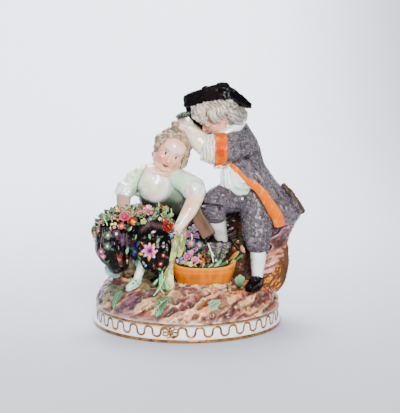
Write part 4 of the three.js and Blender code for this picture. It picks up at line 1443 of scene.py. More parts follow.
    def drape(self) -> Piece:
        """Hang the yellow-green apron end between the skirt and the tub."""
        clay = Clay("apron_drape")
        level = (0, 1, 0)
        clay.roll(
            [
                (-5.4, -27, 61), (-7.0, -30.4, 55), (-10.4, -32.6, 44), (-11.4, -33.4, 34),
                (-11.4, -33.6, 27.6),
            ],
            [(1.6, 2.0), (2.2, 2.6), (2.4, 3.0), (2.2, 3.6), (1.8, 3.9)], flat=level, sides=24,
            pleats=(3, 0.1),
        )
        clay.roll(
            [(-2.6, -23, 62), (-3.2, -25.4, 54), (-5.2, -27.6, 46)], [(1.4, 2.6), (1.6, 2.6), (1.2, 1.8)],
            flat=level,
        )
        skin = clay.press(0.4, 4, tint(212, 216, 160))
        skin.push(skin.cloud(7, 131, (1, 1, 2.4)) * 0.35)
        skin.read()
        skin.mottle(tint(160, 178, 96), 0.85, 9, 132, -0.2, 0.4)
        # Painted shade: darker yellow-green towards the top, below the hand.
        skin.wash(tint(150, 168, 96), 0.7 * soft_step(skin.points[:, 2], 46, 54))
        skin.wash(
            tint(240, 238, 208),
            skin.patch(7, 133, 0.0, 0.4) * 0.75 * soft_step(48 - skin.points[:, 2], 0, 8),
        )
        skin.mottle(tint(210, 156, 150), 0.6, 8, 134, 0.45, 0.75)
        return skin.dress(APRON, 0.3)

    def stocking(self) -> Piece:
        """Roll the stockinged ankle."""
        clay = Clay("girl_stocking")
        clay.roll([(-24.4, -26, 46), (-26.8, -28.8, 39.6), (-29.4, -31, 33.4)], [3.6, 2.8, 2.3])
        skin = clay.press(0.4, 3, tint(222, 230, 222))
        skin.mottle(MINT, 0.6, 8, 141, 0, 0.7)
        return skin.dress(GLAZE)

    def shoe(self) -> Piece:
        """Cobble the pointed pale shoe and dot its buckle."""
        clay = Clay("girl_shoe")
        clay.roll(
            [(-29.0, -30.4, 32.8), (-31.4, -32.8, 30.6), (-34.4, -35.4, 28.6)],
            [(2.5, 2.6), (2.5, 2.7), (1.7, 2.1)],
        )
        clay.roll(
            [(-28.4, -30.2, 30.6), (-31.4, -33, 28.4), (-35, -36, 27)],
            [(0.9, 2.2), (0.8, 2.6), (0.7, 2.1)],
        )
        skin = clay.press(0.3, 3, tint(196, 222, 206))
        for u, v in ((-29.8, 33.0), (-31.4, 31.6)):
            skin.spot(skin.front(u, v), 0.55, tint(34, 44, 38))
        along = (skin.points[:, 0] + 28) * -0.7 + (30 - skin.points[:, 2]) * 0.7
        skin.wash(tint(160, 190, 168), bump((along - 0.4) / 0.35) * 0.7)
        return skin.dress(GLAZE, 0.2)


@dataclass
class Boy:
    """The boy who leans over with the wreath: wig, cocked hat, printed suit, shirt and both legs."""

    head: Head = field(
        default_factory=lambda: Head("boy_head", (17.6, 2.2, 126.6), ((-76, "Z"), (-33, "Y")), 0.8)
    )

    def build(self) -> list[Piece]:
        """Model and dress the whole figure."""
        return [
            self.head.build(),
            self.wig(),
            self.coat(),
            self.breeches(),
            self.facings(),
            self.shirt(),
            self.ruffles(),
            self.neckcloth(),
            self.arms(),
            self.stockings(),
            self.shoes(),
            self.tail_trim(),
        ]

    def wig(self) -> Piece:
        """Heap the powdered wig round the head, and comb it into fine waving locks."""
        clay = Clay("boy_wig")
        for at, radii, lean in (
            ((20.4, 3, 130.6), (13.6, 12.4, 10), 12), ((28, 2.2, 127), (8.2, 11, 7.4), 35),
            ((11.6, -1.8, 131.6), (8.6, 9, 5.6), -22), ((17.4, -3.4, 129.4), (9.6, 8, 5), 10),
        ):
            clay.ball(at, radii, (0, lean, 0))
        for joints, widths in (
            ([(7.0, -7.0, 131.6), (7.0, -8.4, 129.6), (9.4, -8.6, 127)], [1.6, 2.0, 1.3]),
            ([(4.4, -2.4, 131.4), (5.8, -4.2, 127), (8.6, -5.4, 122.8)], [2.4, 2.3, 1.2]),
            ([(8.4, -6.4, 129), (10.0, -8.2, 125.2), (12.8, -8.8, 122.0)], [2.2, 2.1, 1.1]),
            ([(14.6, -9.6, 130), (16.4, -10.2, 126.8), (19, -9.4, 124.6)], [2.2, 2.6, 1.5]),
            ([(26, -8.6, 130), (28.6, -8.6, 126.4), (30.6, -7, 123.6)], [3, 3.4, 2.4]),
        ):
            clay.roll(joints, widths, sides=20)
        skin = clay.press(0.27, 7, tint(214, 208, 198))
        x, _, z = skin.points.T
        lean = 0.5 + 0.75 * soft_step(x, 18, 34)
        along = (z - 128) * np.cos(lean) - (x - 24) * np.sin(lean)
        wave = (
            1.25 * ((x - 24) * np.cos(lean) + (z - 128) * np.sin(lean))
            + 0.9 * np.sin(along * 0.9 + 0.3 * x) + 1.0 * skin.cloud(11, 202)
        )
        lock = np.abs(np.sin(wave))
        strand = np.sin(wave * 4 + 0.8 * skin.cloud(4, 204))
        skin.push(0.42 * lock + 0.08 * strand + 0.5 * skin.cloud(7, 205))
        skin.mottle(tint(182, 172, 160), 0.6, 6, 203, -0.1, 0.5)
        # Painted shade: greyer towards the lower back. The locks' grooves are grey, partly painted lines and
        # partly painted shade, deeper towards the back.
        skin.wash(tint(170, 170, 168), soft_step(x - 0.4 * (z - 126), 22, 30) * 0.55)
        skin.wash(tint(112, 108, 104), bump(lock / 0.34) * (0.35 + 0.55 * soft_step(x, 14, 28)))
        skin.wash(tint(146, 140, 132), soft_step(strand, 0.3, 1.0) * skin.patch(5, 206, -0.2, 0.4) * 0.5)
        return skin.dress(POWDERED, 0.2)

    @staticmethod
    def creased(skin: Surface, creases: tuple, sway: float) -> Array:
        """Return 1 along creases: rows of a start in x and z, degrees and length, swaying to and fro."""
        x, _, z = skin.points.T
        cut = np.zeros(len(x))
        for k, (px, pz, angle, reach) in enumerate(creases):
            c, s = math.cos(math.radians(angle)), math.sin(math.radians(angle))
            along, across = (x - px) * c + (z - pz) * s, (z - pz) * c - (x - px) * s
            across = across + sway * np.sin(along * 0.25 + k)
            cut += bump(across / 0.9) * soft_step(along, -1, 3) * soft_step(reach - along, 0, 6)
        return cut

    def coat(self) -> Piece:
        """Cut the printed coat with its bent back, its full skirts and both sleeves."""
        clay = Clay("boy_coat")
        ovals = [
            (59, 7, 60.5, 7.4, 13), (58.5, 7, 67, 11.4, 15.6), (52, 6, 75, 12.8, 14.2),
            (45, 5, 82, 13.2, 13.2), (39, 4, 89, 12.8, 12.2),
        ]
        ovals += [
            (34.5, 4, 97, 11.8, 12.2), (33, 4, 105, 11.6, 12.6), (32, 3.5, 112, 9.8, 11.6),
            (31.6, 2.6, 118, 6.6, 8.4), (31.4, 2.6, 122, 4.4, 5.4),
        ]
        clay.stack(ovals)
        clay.ball((36, 1, 90), (9, 10, 8))
        clay.roll(
            [(32, -6, 110), (26.4, -11, 108.6), (21, -13.5, 107.6)], [8.6, 9.2, 9.4], sides=36, bulge=0.3,
        )
        clay.roll([(27, 12, 111), (20, 15, 109.5), (14, 15.4, 108.2)], [8.4, 8.0, 8.2], sides=36, bulge=0.3)
        clay.roll([(62, 0, 80), (66, 2, 73), (69, 4, 67)], [(2, 3), (2, 4), (1.6, 3.4)], flat=(1, 0, 1))
        clay.roll(
            [(28.4, -7.4, 103), (34.4, -8.8, 97), (40.8, -10.4, 91.4), (47, -11.6, 85.4), (52, -11, 78)],
            [4.4, 5.0, 5.0, 4.8, 4.0], sides=28,
        )
        skin = clay.press(0.45, 4, tint(146, 136, 146))
        # Creases run from the armpit across the back and down the skirts.
        creases = (
            (30, 99, -20, 14), (33, 103, 5, 13), (31, 108, 30, 12), (44, 80, -50, 18), (50, 76, -55, 18),
            (57, 74, -62, 14), (38, 92, -35, 12),
        )
        skin.push(0.45 * skin.cloud(16, 211, (1, 1, 1.6)) - 0.8 * self.creased(skin, creases, 1.1))
        return skin.dress(PRINT, 0.3)

    def breeches(self) -> Piece:
        """Cut the printed breeches over the straight leg and the raised one."""
        clay = Clay("boy_breeches")
        clay.ball((37, 1, 79), (12, 10.4, 9))
        clay.roll(
            [(40, 0, 77), (42, -4, 68), (42, -9, 57.6), (42.6, -13.6, 49.8)], [11, 10.2, 9.4, 7.2],
            sides=32,
        )
        clay.roll(
            [(32, 0, 78), (24, -7, 77.5), (16.8, -12, 75.2), (17, -12, 68.4)], [10, 9.4, 8.5, 7.0],
            sides=32,
        )
        clay.roll([(12.4, -14.4, 68.6), (17, -18.6, 67.2), (22.4, -15.4, 66)], [1.1, 1.4, 1.1], sides=12)
        clay.roll(
            [(36.6, -17.6, 51.4), (42.4, -20.8, 49.6), (48.6, -16.6, 49.8)], [1.1, 1.5, 1.1], sides=12,
        )
        clay.roll([(47.6, -18.6, 48.8), (48.4, -18.2, 45.8)], [(1.1, 0.8), (1.3, 0.7)], sides=10)
        skin = clay.press(0.42, 4, tint(134, 124, 136))
        creases = (
            (31, 74, 150, 16), (33, 70, 165, 12), (47, 76, -78, 16), (37, 70, -85, 14), (20, 70, 100, 8),
        )
        skin.push(0.45 * skin.cloud(13, 221, (1, 1, 1.4)) - 0.6 * self.creased(skin, creases, 0.0))
        return skin.dress(PRINT, 0.3)

    def facings(self) -> Piece:
        """Turn back the orange lapel and both cuffs."""
        clay = Clay("boy_facings")
        lapel = [
            (26.5, -11.0, 97.9), (33.1, -12.6, 91.9), (39.8, -14.2, 86.7), (45.2, -15.2, 81.3),
            (49.7, -15.2, 74.3), (53.6, -14.2, 67.1), (55.5, -12.8, 61.2),
        ]
        clay.roll(
            lapel, [(2.0, 1.1), (2.6, 1.3), (2.9, 1.3), (3.2, 1.3), (3.6, 1.3), (4.0, 1.3), (3.7, 1.1)],
            flat=(0.7, -0.3, 0.9), sides=28,
        )
        clay.roll(
            [(23.0, -13.5, 107.4), (19.6, -13.8, 107.5), (16.2, -14, 107.6)],
            [(10.0, 9.8), (9.8, 9.6), (10.4, 10.1)], sides=96, bulge=0.06,
        )
        clay.roll([(16.6, 15.4, 108.5), (10.5, 14, 110)], [9, 9.4], sides=96, bulge=0.06)
        skin = clay.press(0.36, 7, ORANGE)
        skin.push(skin.cloud(16, 231) * 0.35)
        skin.read()
        skin.mottle((0.42, 0.03, 0.0004), 0.7, 9, 232, 0.1, 0.7)
        skin.mottle((0.74, 0.13, 0.001), 0.7, 8, 233, 0.1, 0.6)
        skin.wash((0.76, 0.16, 0.001), soft_step(100 - skin.points[:, 2], 0, 3) * 0.7)
        # Painted highlights: small pale dots over the orange.
        skin.mottle((0.85, 0.45, 0.12), 0.3, 4, 234, 0.56, 0.7, (1, 1, 2))
        return skin.dress(ENAMEL, 0.3)

    def shirt(self) -> Piece:
        """Bunch the white shirt between the lapel and the thigh in swirling folds."""
        clay = Clay("boy_shirt")
        clay.ball((30, -5, 86), (9.6, 7.8, 11.6))
        clay.ball((27.6, -5.4, 79.4), (6.8, 6.6, 7.4))
        clay.ball((26, -3, 95), (5.6, 8.2, 8))
        for joints, widths in (
            (
                [(21.0, -9.6, 93), (21.8, -11.4, 84), (24.4, -12, 76.4), (29.6, -11.6, 74.2)],
                [1.2, 1.9, 1.9, 1.2],
            ),
            (
                [(22.6, -10.6, 95), (23.4, -12.0, 87), (27, -12.6, 79.6), (33, -11.6, 77.6)],
                [1.1, 1.7, 1.7, 1.1],
            ),
            (
                [(24, -10.6, 95.5), (25.6, -12.4, 87), (29.4, -12.8, 81.8), (35.4, -11.4, 81.2)],
                [1.2, 1.9, 1.8, 1.2],
            ),
            (
                [(27, -10.8, 95), (28.8, -12.6, 88), (32.4, -12.4, 84.8), (38, -11, 84.6)],
                [1.1, 1.8, 1.7, 1.1],
            ),
            ([(29.6, -11, 93.6), (31.8, -12.4, 89.4), (36, -11.8, 87.6)], [1.0, 1.5, 1.1]),
            ([(20.8, -9, 93), (21.4, -9.6, 86), (23, -10.4, 80)], [0.9, 1.2, 0.9]),
        ):
            clay.roll(joints, widths, sides=12)
        skin = clay.press(0.36, 3, WHITE)
        skin.mottle(tint(196, 214, 202), 0.6, 10, 241, 0.0, 0.7)
        return skin.dress(GLAZE, 0.35)

    def ruffles(self) -> Piece:
        """Pleat the shirt's ruffles that spill from both cuffs."""
        clay = Clay("boy_ruffles")
        clay.roll(
            [(17, -14, 107.8), (13.4, -14, 108), (9.6, -13.8, 108.8)], [9, 8.7, 7.6], sides=96, bulge=0.12,
        )
        clay.roll([(11.5, 14.4, 109.6), (7.4, 12.4, 111.4)], [7.6, 7.2], sides=48, bulge=0.12)
        clay.ball((19, -13.6, 98.4), (3.6, 5, 2.0))
        skin = clay.press(0.32, 6, WHITE)
        x, _, z = skin.points.T
        pleat = np.sin(2.7 * x + 0.9 * np.sin(z * 0.3) + 2.2 * skin.cloud(9, 253, (1, 1, 4)))
        skin.push(0.26 * pleat + 0.4 * skin.cloud(9, 254))
        # Painted shade: mint in the pleats' grooves.
        skin.wash(tint(168, 192, 180), soft_step(-pleat, -0.1, 1.0) * 0.6)
        skin.mottle(tint(238, 220, 168), 0.6, 5, 251, 0.35, 0.7, (1, 1, 4))
        skin.mottle(tint(222, 196, 212), 0.5, 5, 252, 0.5, 0.8, (1, 1, 4))
        return skin.dress(GLAZE, 0.3)

    def neckcloth(self) -> Piece:
        """Wind the neckcloth under the chin."""
        clay = Clay("boy_neckcloth")
        clay.roll(
            [(34.4, -2.6, 122.6), (31, -6.4, 120.4), (26, -8, 118), (20.6, -8.6, 115.2), (16.8, -6, 113)],
            [(1.2, 1.4), (2.6, 1.8), (3.2, 2.2), (2.8, 2.2), (2.0, 1.8)], flat=(-0.3, 0, 1),
        )
        clay.roll([(30, 3, 117), (25, 2, 119), (21, 2, 119)], [7.2, 7.0, 6.6])
        clay.roll([(29.6, -4.2, 121), (25.2, -7.4, 118.8), (20.6, -8.6, 116.8)], [1.0, 1.4, 1.0], sides=12)
        skin = clay.press(0.4, 3, tint(246, 244, 238))
        skin.mottle(MINT, 0.3, 8, 261, 0.4, 0.9)
        return skin.dress(GLAZE, 0.3)

    def arms(self) -> Piece:
        """Model both forearms and the hands that hold the wreath."""
        clay = Clay("boy_arms")
        clay.roll([(12, -13.2, 108.4), (6.4, -12.2, 113.4), (1.4, -10.6, 117.4)], [6.2, 6.0, 4.4])
        clay.hand((1.6, -10.6, 117.2), (-0.82, 0.1, 0.54), (0.4, 0.7, 0.55), 1.45, 0.42)
        clay.roll([(12, 14.8, 108.4), (6, 11, 113.5), (1, 5, 119)], [5.8, 5.2, 3.6])
        clay.hand((1.2, 5.2, 118.8), (-0.6, -0.6, 0.5), (0.5, -0.7, 0.3), 1.35, 0.42)
        skin = clay.press(0.3, 3, tint(230, 220, 212))
        skin.mottle(tint(226, 186, 170), 0.4, 10, 271, 0.1, 0.8)
        return skin.dress(FLESH)

    def stockings(self) -> Piece:
        """Roll both white stockings."""
        clay = Clay("boy_stockings")
        clay.roll([(42.8, -14, 49), (42.7, -15, 42), (42, -15.8, 29)], [5.4, 5.0, 3.3], sides=28)
        clay.roll([(17, -12, 70), (18.4, -9, 61), (21, -5, 51)], [6.2, 5.5, 3.9], sides=28)
        skin = clay.press(0.4, 3, WHITE)
        # Painted shade: grey-green on the faces turned to either side and over the raised leg, with some
        # random patches.
        painted_shade = (
            0.45 * soft_step(30 - skin.points[:, 0], 0, 4) + soft_step(-skin.normals[:, 0], 0.3, 1.0)
            + 0.6 * soft_step(skin.normals[:, 0], 0.6, 1.0) + 0.3 * skin.patch(10, 281, 0.1, 0.8)
        )
        skin.wash(tint(168, 184, 172), painted_shade * 0.8)
        return skin.dress(GLAZE)

    def shoes(self) -> Piece:
        """Cobble both black shoes, soled, heeled and tied with rosettes."""
        clay = Clay("boy_shoes")
        for heel, instep, toe in (
            ((43.0, -14.6, 28.6), (40.6, -20.6, 28.4), (37.0, -27.4, 26.6)),
            ((25.6, -1.6, 47.4), (20, -7, 47.4), (14.6, -13, 46.6)),
        ):
            start, middle, tip = Vector(heel), Vector(instep), Vector(toe)
            clay.roll([start, middle, tip], [(3.6, 3.4), (3.4, 3.9), (1.9, 2.8)], sides=24)
            drop = Vector((0, 0, -2.6))
            clay.roll(
                [start + drop * 1.1, middle + drop * 1.3, tip + drop * 0.7],
                [(1.1, 3.4), (1.0, 4.3), (0.9, 3.3)],
            )
            bow = middle + Vector((-0.4, -2.4, 2.6))
            for k in range(6):
                angle = math.radians(60 * k)
                clay.ball(
                    bow + Vector(
                        (1.5 * math.cos(angle), 1.5 * math.sin(angle) * 0.7, 0.7 * math.sin(angle))
                    ),
                    (1.1, 1.0, 0.7),
                )
            clay.ball(bow + Vector((0, -0.3, 0.5)), (0.8, 0.8, 0.8))
        skin = clay.press(0.32, 3, BLACK)
        return skin.dress(GLOSS, 0.25)

    def tail_trim(self) -> Piece:
        """Set the knobbly brown edging along the coat's tail."""
        clay = Clay("tail_trim")
        line, _ = through([(58.4, -2.0, 83.8), (62.8, -1.4, 79), (66.8, 0.4, 73.6), (70.2, 3.0, 67.6)], 6)
        clay.roll([tuple(p) for p in line[::3]], [1.3] * len(line[::3]), sides=10)
        for k, spot in enumerate(line):
            clay.ball(tuple(spot), (1.7 + 0.4 * math.sin(2.1 * k), 2.4, 1.4 + 0.5 * math.cos(1.7 * k)))
        skin = clay.press(0.36, 2, tint(98, 80, 64))
        skin.mottle(tint(150, 126, 92), 0.7, 3, 291, 0.1, 0.6)
        return skin.dress(ROCK, 0.25)


@dataclass
class CockedHat:
    """The glossy three-cornered hat."""

    centre: tuple[float, float] = (20, 5)
    corners: tuple = ((-5.4, 0.6), (39.4, -3.6), (28, 21.6))
    middles: tuple = ((19.5, -10.5), (35.6, 9), (13, 20))
    brim: float = 130.3
    arch: float = 7.8
    flaps: tuple = ((7.0, 8.4, 2.6), (2.6, 2.2, 3.6), (3.6, 6.0, 7.0))
    wall: float = 2.4
    raised: tuple = (1.0, 0.12, 0.55)
    skew: tuple = (1.3, 1.0, 1.0)
    per_side: int = 24
    rounding: int = 9

    def ring(self, lower: bool, inward: float) -> Array:
        """Return the brim's outline, its lower or its upper edge, some way inwards."""
        points = []
        for k in range(3):
            a, b = np.array(self.corners[k], float), np.array(self.corners[(k + 1) % 3], float)
            pull = 2 * np.array(self.middles[k]) - (a + b) / 2
            for share in np.arange(self.per_side) / self.per_side:
                lift = self.raised[k] * math.sin(math.pi * share ** self.skew[k])
                flat = (1 - share) ** 2 * a + 2 * share * (1 - share) * pull + share**2 * b - self.centre
                inset = 1 - (inward + (0 if lower else 1.6 * lift)) / np.hypot(*flat)
                start, middle, end = self.flaps[k]
                flap = (
                    start * (1 - share) + end * share
                    + (middle - (start + end) / 2) * math.sin(math.pi * share) ** 2
                )
                z = self.brim + self.arch * lift + (0 if lower else flap)
                points.append((self.centre[0] + flat[0] * inset, self.centre[1] + flat[1] * inset, z))
        rounded = np.array(points)
        for _ in range(self.rounding):
            rounded = (np.roll(rounded, 1, 0) + 2 * rounded + np.roll(rounded, -1, 0)) / 4
        return rounded

    def build(self) -> list[Piece]:
        """Model the crown, the turned-up brim with its cord, and both rosettes."""
        clay = Clay("cocked_hat")
        rings = np.array(
            [
                self.ring(True, self.wall), self.ring(True, 0), self.ring(False, 0),
                self.ring(False, self.wall),
            ]
        )
        clay.lumps.append(
            skin_over(
                "hat_brim", rings, np.array([*self.centre, self.brim + 3]),
                np.array([*self.centre, self.brim + 7]),
            )
        )
        clay.ball((20.6, 5, 136), (12, 11.2, 8.4))
        clay.roll(
            [(0.8, 3.4, 134.6), (2.8, 5, 129.4), (6.2, 8, 123.8), (10.8, 10, 117.6)],
            [(3.2, 1.9), (4.4, 1.9), (4.9, 2.0), (3.2, 1.6)],
        )
        edge = self.ring(False, 0.6)
        clay.roll(
            [tuple(p) for p in np.vstack([edge[2::6], edge[2:3]])], [0.75] * (len(edge[2::6]) + 1),
            sides=10,
        )
        for (x, y, z), size in (((21.4, -7.2, 145.2), 0.95), ((11.2, -7.6, 143.0), 0.75)):
            for k in range(7):
                angle = 2 * math.pi * k / 7
                clay.ball(
                    (x + 2.4 * size * math.cos(angle), y - 0.4, z + 1.3 * size * math.sin(angle)),
                    (1.7 * size, 1.6 * size, 1.2 * size), (0, 0, 51 * k),
                )
            clay.ball((x, y - 1.2 * size, z + 0.6 * size), (1.4 * size, 1.2 * size, 1.2 * size))
        skin = clay.press(0.36, 8, BLACK)
        skin.push(0.35 * skin.cloud(11, 301) + 0.1 * skin.cloud(4, 302))
        skin.read()
        skin.mottle((0.012, 0.007, 0.007), 0.5, 9, 303, 0.3, 0.8, (2, 1, 1))
        under = soft_step(-skin.normals[:, 2] - 0.2 + soft_step(126 - skin.points[:, 2], 0, 4), 0, 0.5)
        skin.wash(tint(66, 38, 44), under * 0.6 * soft_step(128 - skin.points[:, 2], 0, 6))
        # Painted highlights: mauve patches low on the far flap.
        skin.wash(
            tint(150, 116, 124),
            skin.patch(3, 304, 0.3, 0.7, (1, 1, 2)) * soft_step(124 - skin.points[:, 2], 0, 3) * 0.6,
        )
        return [skin.dress(FELT, 0.3)]


class Posy:
    """Gathers petals, leaves and stems, each a closed form, into one painted piece."""

    def __init__(self, name: str, seed: int) -> None:
        """Start an empty bunch."""
        self.name = name
        self.rng = np.random.default_rng(seed)
        self.points: list[Array] = []
        self.faces: list[tuple] = []
        self.colours: list[Array] = []
        self.count = 0

    def add(self, rings: Array, first: Array, last: Array, colours: Array) -> None:
        """Keep a skin over rings by sides by 3, between two poles, with a colour for each pole and ring."""
        count, sides = rings.shape[:2]
        self.faces += skin_faces(count, sides, self.count)
        self.points.append(np.vstack([first[None], rings.reshape(-1, 3), last[None]]))
        self.colours.append(np.repeat(colours, [1] + [sides] * count + [1], 0))
        self.count += count * sides + 2

    def petal(
        self, base: Vector, way: Vector, up: Vector, length: float, width: float, cup: float, inner: Colour,
        outer: Colour,
    ) -> None:
        """Add one cupped petal.

        Args:
            base: Where it is rooted.
            way: The way it grows.
            up: The way its inner face looks.
            length: How long it is.
            width: Its half width.
            cup: How far its tip and edges bend up, as a share of its length.
            inner: Its colour at the root.
            outer: Its colour at the tip.
        """
        way = way.normalized()
        side = up.cross(way).normalized()
        up = way.cross(side)
        frame_of = np.array([way, side, up])
        thick = max(0.26, 0.05 * length)
        shares = 0.5 - 0.5 * np.cos(math.pi * np.array([0.14, 0.32, 0.5, 0.68, 0.84]))
        angles = circle(10)
        rings = []
        for share in shares:
            half = width * math.sqrt(max(1 - (2 * share - 1) ** 2, 0)) * (0.45 + 0.75 * share)
            across = half * np.cos(angles)
            bend = cup * length * share**2 + 0.8 * cup * across**2 / max(width, 0.1)
            rings.append(
                np.stack(
                    [
                        0 * across + share * length, across,
                        bend + thick * np.sin(angles) * (1.1 - 0.5 * share),
                    ],
                    1,
                )
            )
        root = np.array(base)
        ends = np.array([[0, 0, 0.0], [length, 0, cup * length]]) @ frame_of + root
        inner, shift = np.array(inner), np.array(outer) - np.array(inner)
        tints = inner + np.outer(soft_step(np.array([0, *shares, 1]), 0.05, 0.75), shift)
        self.add(np.array(rings) @ frame_of + root, *ends, tints)

    def ball(self, at: Vector, size: float, colour: Colour) -> None:
        """Add a small round heart or bud."""
        middle, angles = np.array(at), circle(8)
        falls = (2.5, 1.9, 1.25, 0.65)
        rings = [
            np.stack(
                [np.cos(angles) * math.sin(a), np.sin(angles) * math.sin(a), 0 * angles + math.cos(a)], 1,
            )
            for a in falls
        ]
        poles = np.array([[0, 0, -size], [0, 0, size]]) + middle
        self.add(np.array(rings) * size + middle, *poles, np.tile(colour, (len(falls) + 2, 1)))

    def stem(self, joints: list, width: float, colour: Colour) -> None:
        """Add a thin stalk through joints."""
        line, _ = through([tuple(p) for p in joints], 4)
        ways = np.gradient(line, axis=0)
        ways /= np.linalg.norm(ways, axis=1)[:, None]
        side = np.cross(ways, (0.3, 1, 0.2))
        side /= np.linalg.norm(side, axis=1)[:, None]
        other = np.cross(ways, side)
        rings = [line + (side * math.cos(a) + other * math.sin(a)) * width for a in circle(7)]
        self.add(
            np.stack(rings, 1), line[0] - ways[0] * width, line[-1] + ways[-1] * width,
            np.tile(colour, (len(line) + 2, 1)),
        )

    def flower(
        self, at: Point, facing: Point, size: float, kind: str, petal: Colour, heart: Colour,
    ) -> None:
        """Add one flower.

        Args:
            at: Its heart.
            facing: The way it looks.
            size: Its half width.
            kind: rose, daisy, star, cup, pink or tiny.
            petal: The colour at the petals' tips.
            heart: The colour at their roots.
        """
        look = Vector(facing).normalized()
        side = look.orthogonal().normalized()
        other = look.cross(side)
        start = self.rng.uniform(0, 6.3)
        rings = {
            "rose": ((3, 78, 0.62, 0.36, 0.5), (5, 58, 0.85, 0.42, 0.4), (6, 26, 1.0, 0.46, 0.28)),
            "daisy": ((8, 14, 1.0, 0.3, 0.12),),
            "star": ((6, 24, 1.0, 0.34, 0.16),),
            "cup": ((5, 58, 1.05, 0.5, 0.25),),
            "pink": ((6, 66, 0.7, 0.26, 0.1), (8, 40, 0.9, 0.28, 0.1), (9, 14, 1.0, 0.3, 0.1)),
            "tiny": ((5, 20, 1.0, 0.42, 0.15),),
        }[kind]
        for level, (count, rise, reach, width, cup) in enumerate(rings):
            for k in range(count):
                turn = start + level * 0.5 + 2 * math.pi * k / count + self.rng.uniform(-0.1, 0.1)
                out = side * math.cos(turn) + other * math.sin(turn)
                lift = math.radians(rise + self.rng.uniform(-5, 5))
                way = out * math.cos(lift) + look * math.sin(lift)
                up = look * math.cos(lift) - out * math.sin(lift)
                base = Vector(at) - look * size * 0.25
                tip = tuple(share * self.rng.uniform(0.86, 1.08) for share in petal)
                self.petal(
                    base, way, up, size * reach * self.rng.uniform(0.93, 1.05), size * width, cup, heart,
                    tip,
                )
        if kind in ("daisy", "star", "cup", "tiny"):
            self.ball(Vector(at) + look * size * 0.02, size * (0.27 if kind != "cup" else 0.32), heart)
            if kind != "tiny":
                for k in range(6):
                    turn = 2 * math.pi * k / 6
                    dot = (
                        Vector(at) + (side * math.cos(turn) + other * math.sin(turn)) * size * 0.24
                        + look * size * 0.22
                    )
                    self.ball(dot, size * 0.09, shaded(heart, 1, 0.3))
        for k in range(3):
            turn = start + 2 * math.pi * k / 3
            out = side * math.cos(turn) + other * math.sin(turn)
            self.petal(
                Vector(at) - look * size * 0.45, out - look * 0.1, look, size * 1.05, size * 0.22, 0.1,
                DEEP_LEAF, LEAF,
            )

    def leaf(
        self, base: Point, way: Point, up: Point, length: float, colour: Colour, cup: float = 0.15,
        width: float = 0.26,
    ) -> None:
        """Add one pointed leaf with a raised rib, darker at its root, its width a share of its length."""
        dark = shaded(colour, 0.5)
        grow, look = Vector(way).normalized(), Vector(up)
        self.petal(Vector(base), grow, look, length, length * width, cup, dark, colour)
        look = (look - grow * look.dot(grow)).normalized()
        ribs = [
            Vector(base) + grow * length * s + look * (cup * length * s * s + 0.3)
            for s in (0.05, 0.45, 0.85)
        ]
        self.stem(ribs, 0.16, shaded(colour, 1, 0.12))

    def plant(self) -> Piece:
        """Turn the bunch into one dressed piece."""
        skin = Surface(mesh_piece(self.name, np.vstack(self.points), self.faces))
        skin.colours = np.clip(np.vstack(self.colours), 0, 1)
        bpy.ops.object.shade_smooth()
        return skin.dress(PETAL, 0.35)


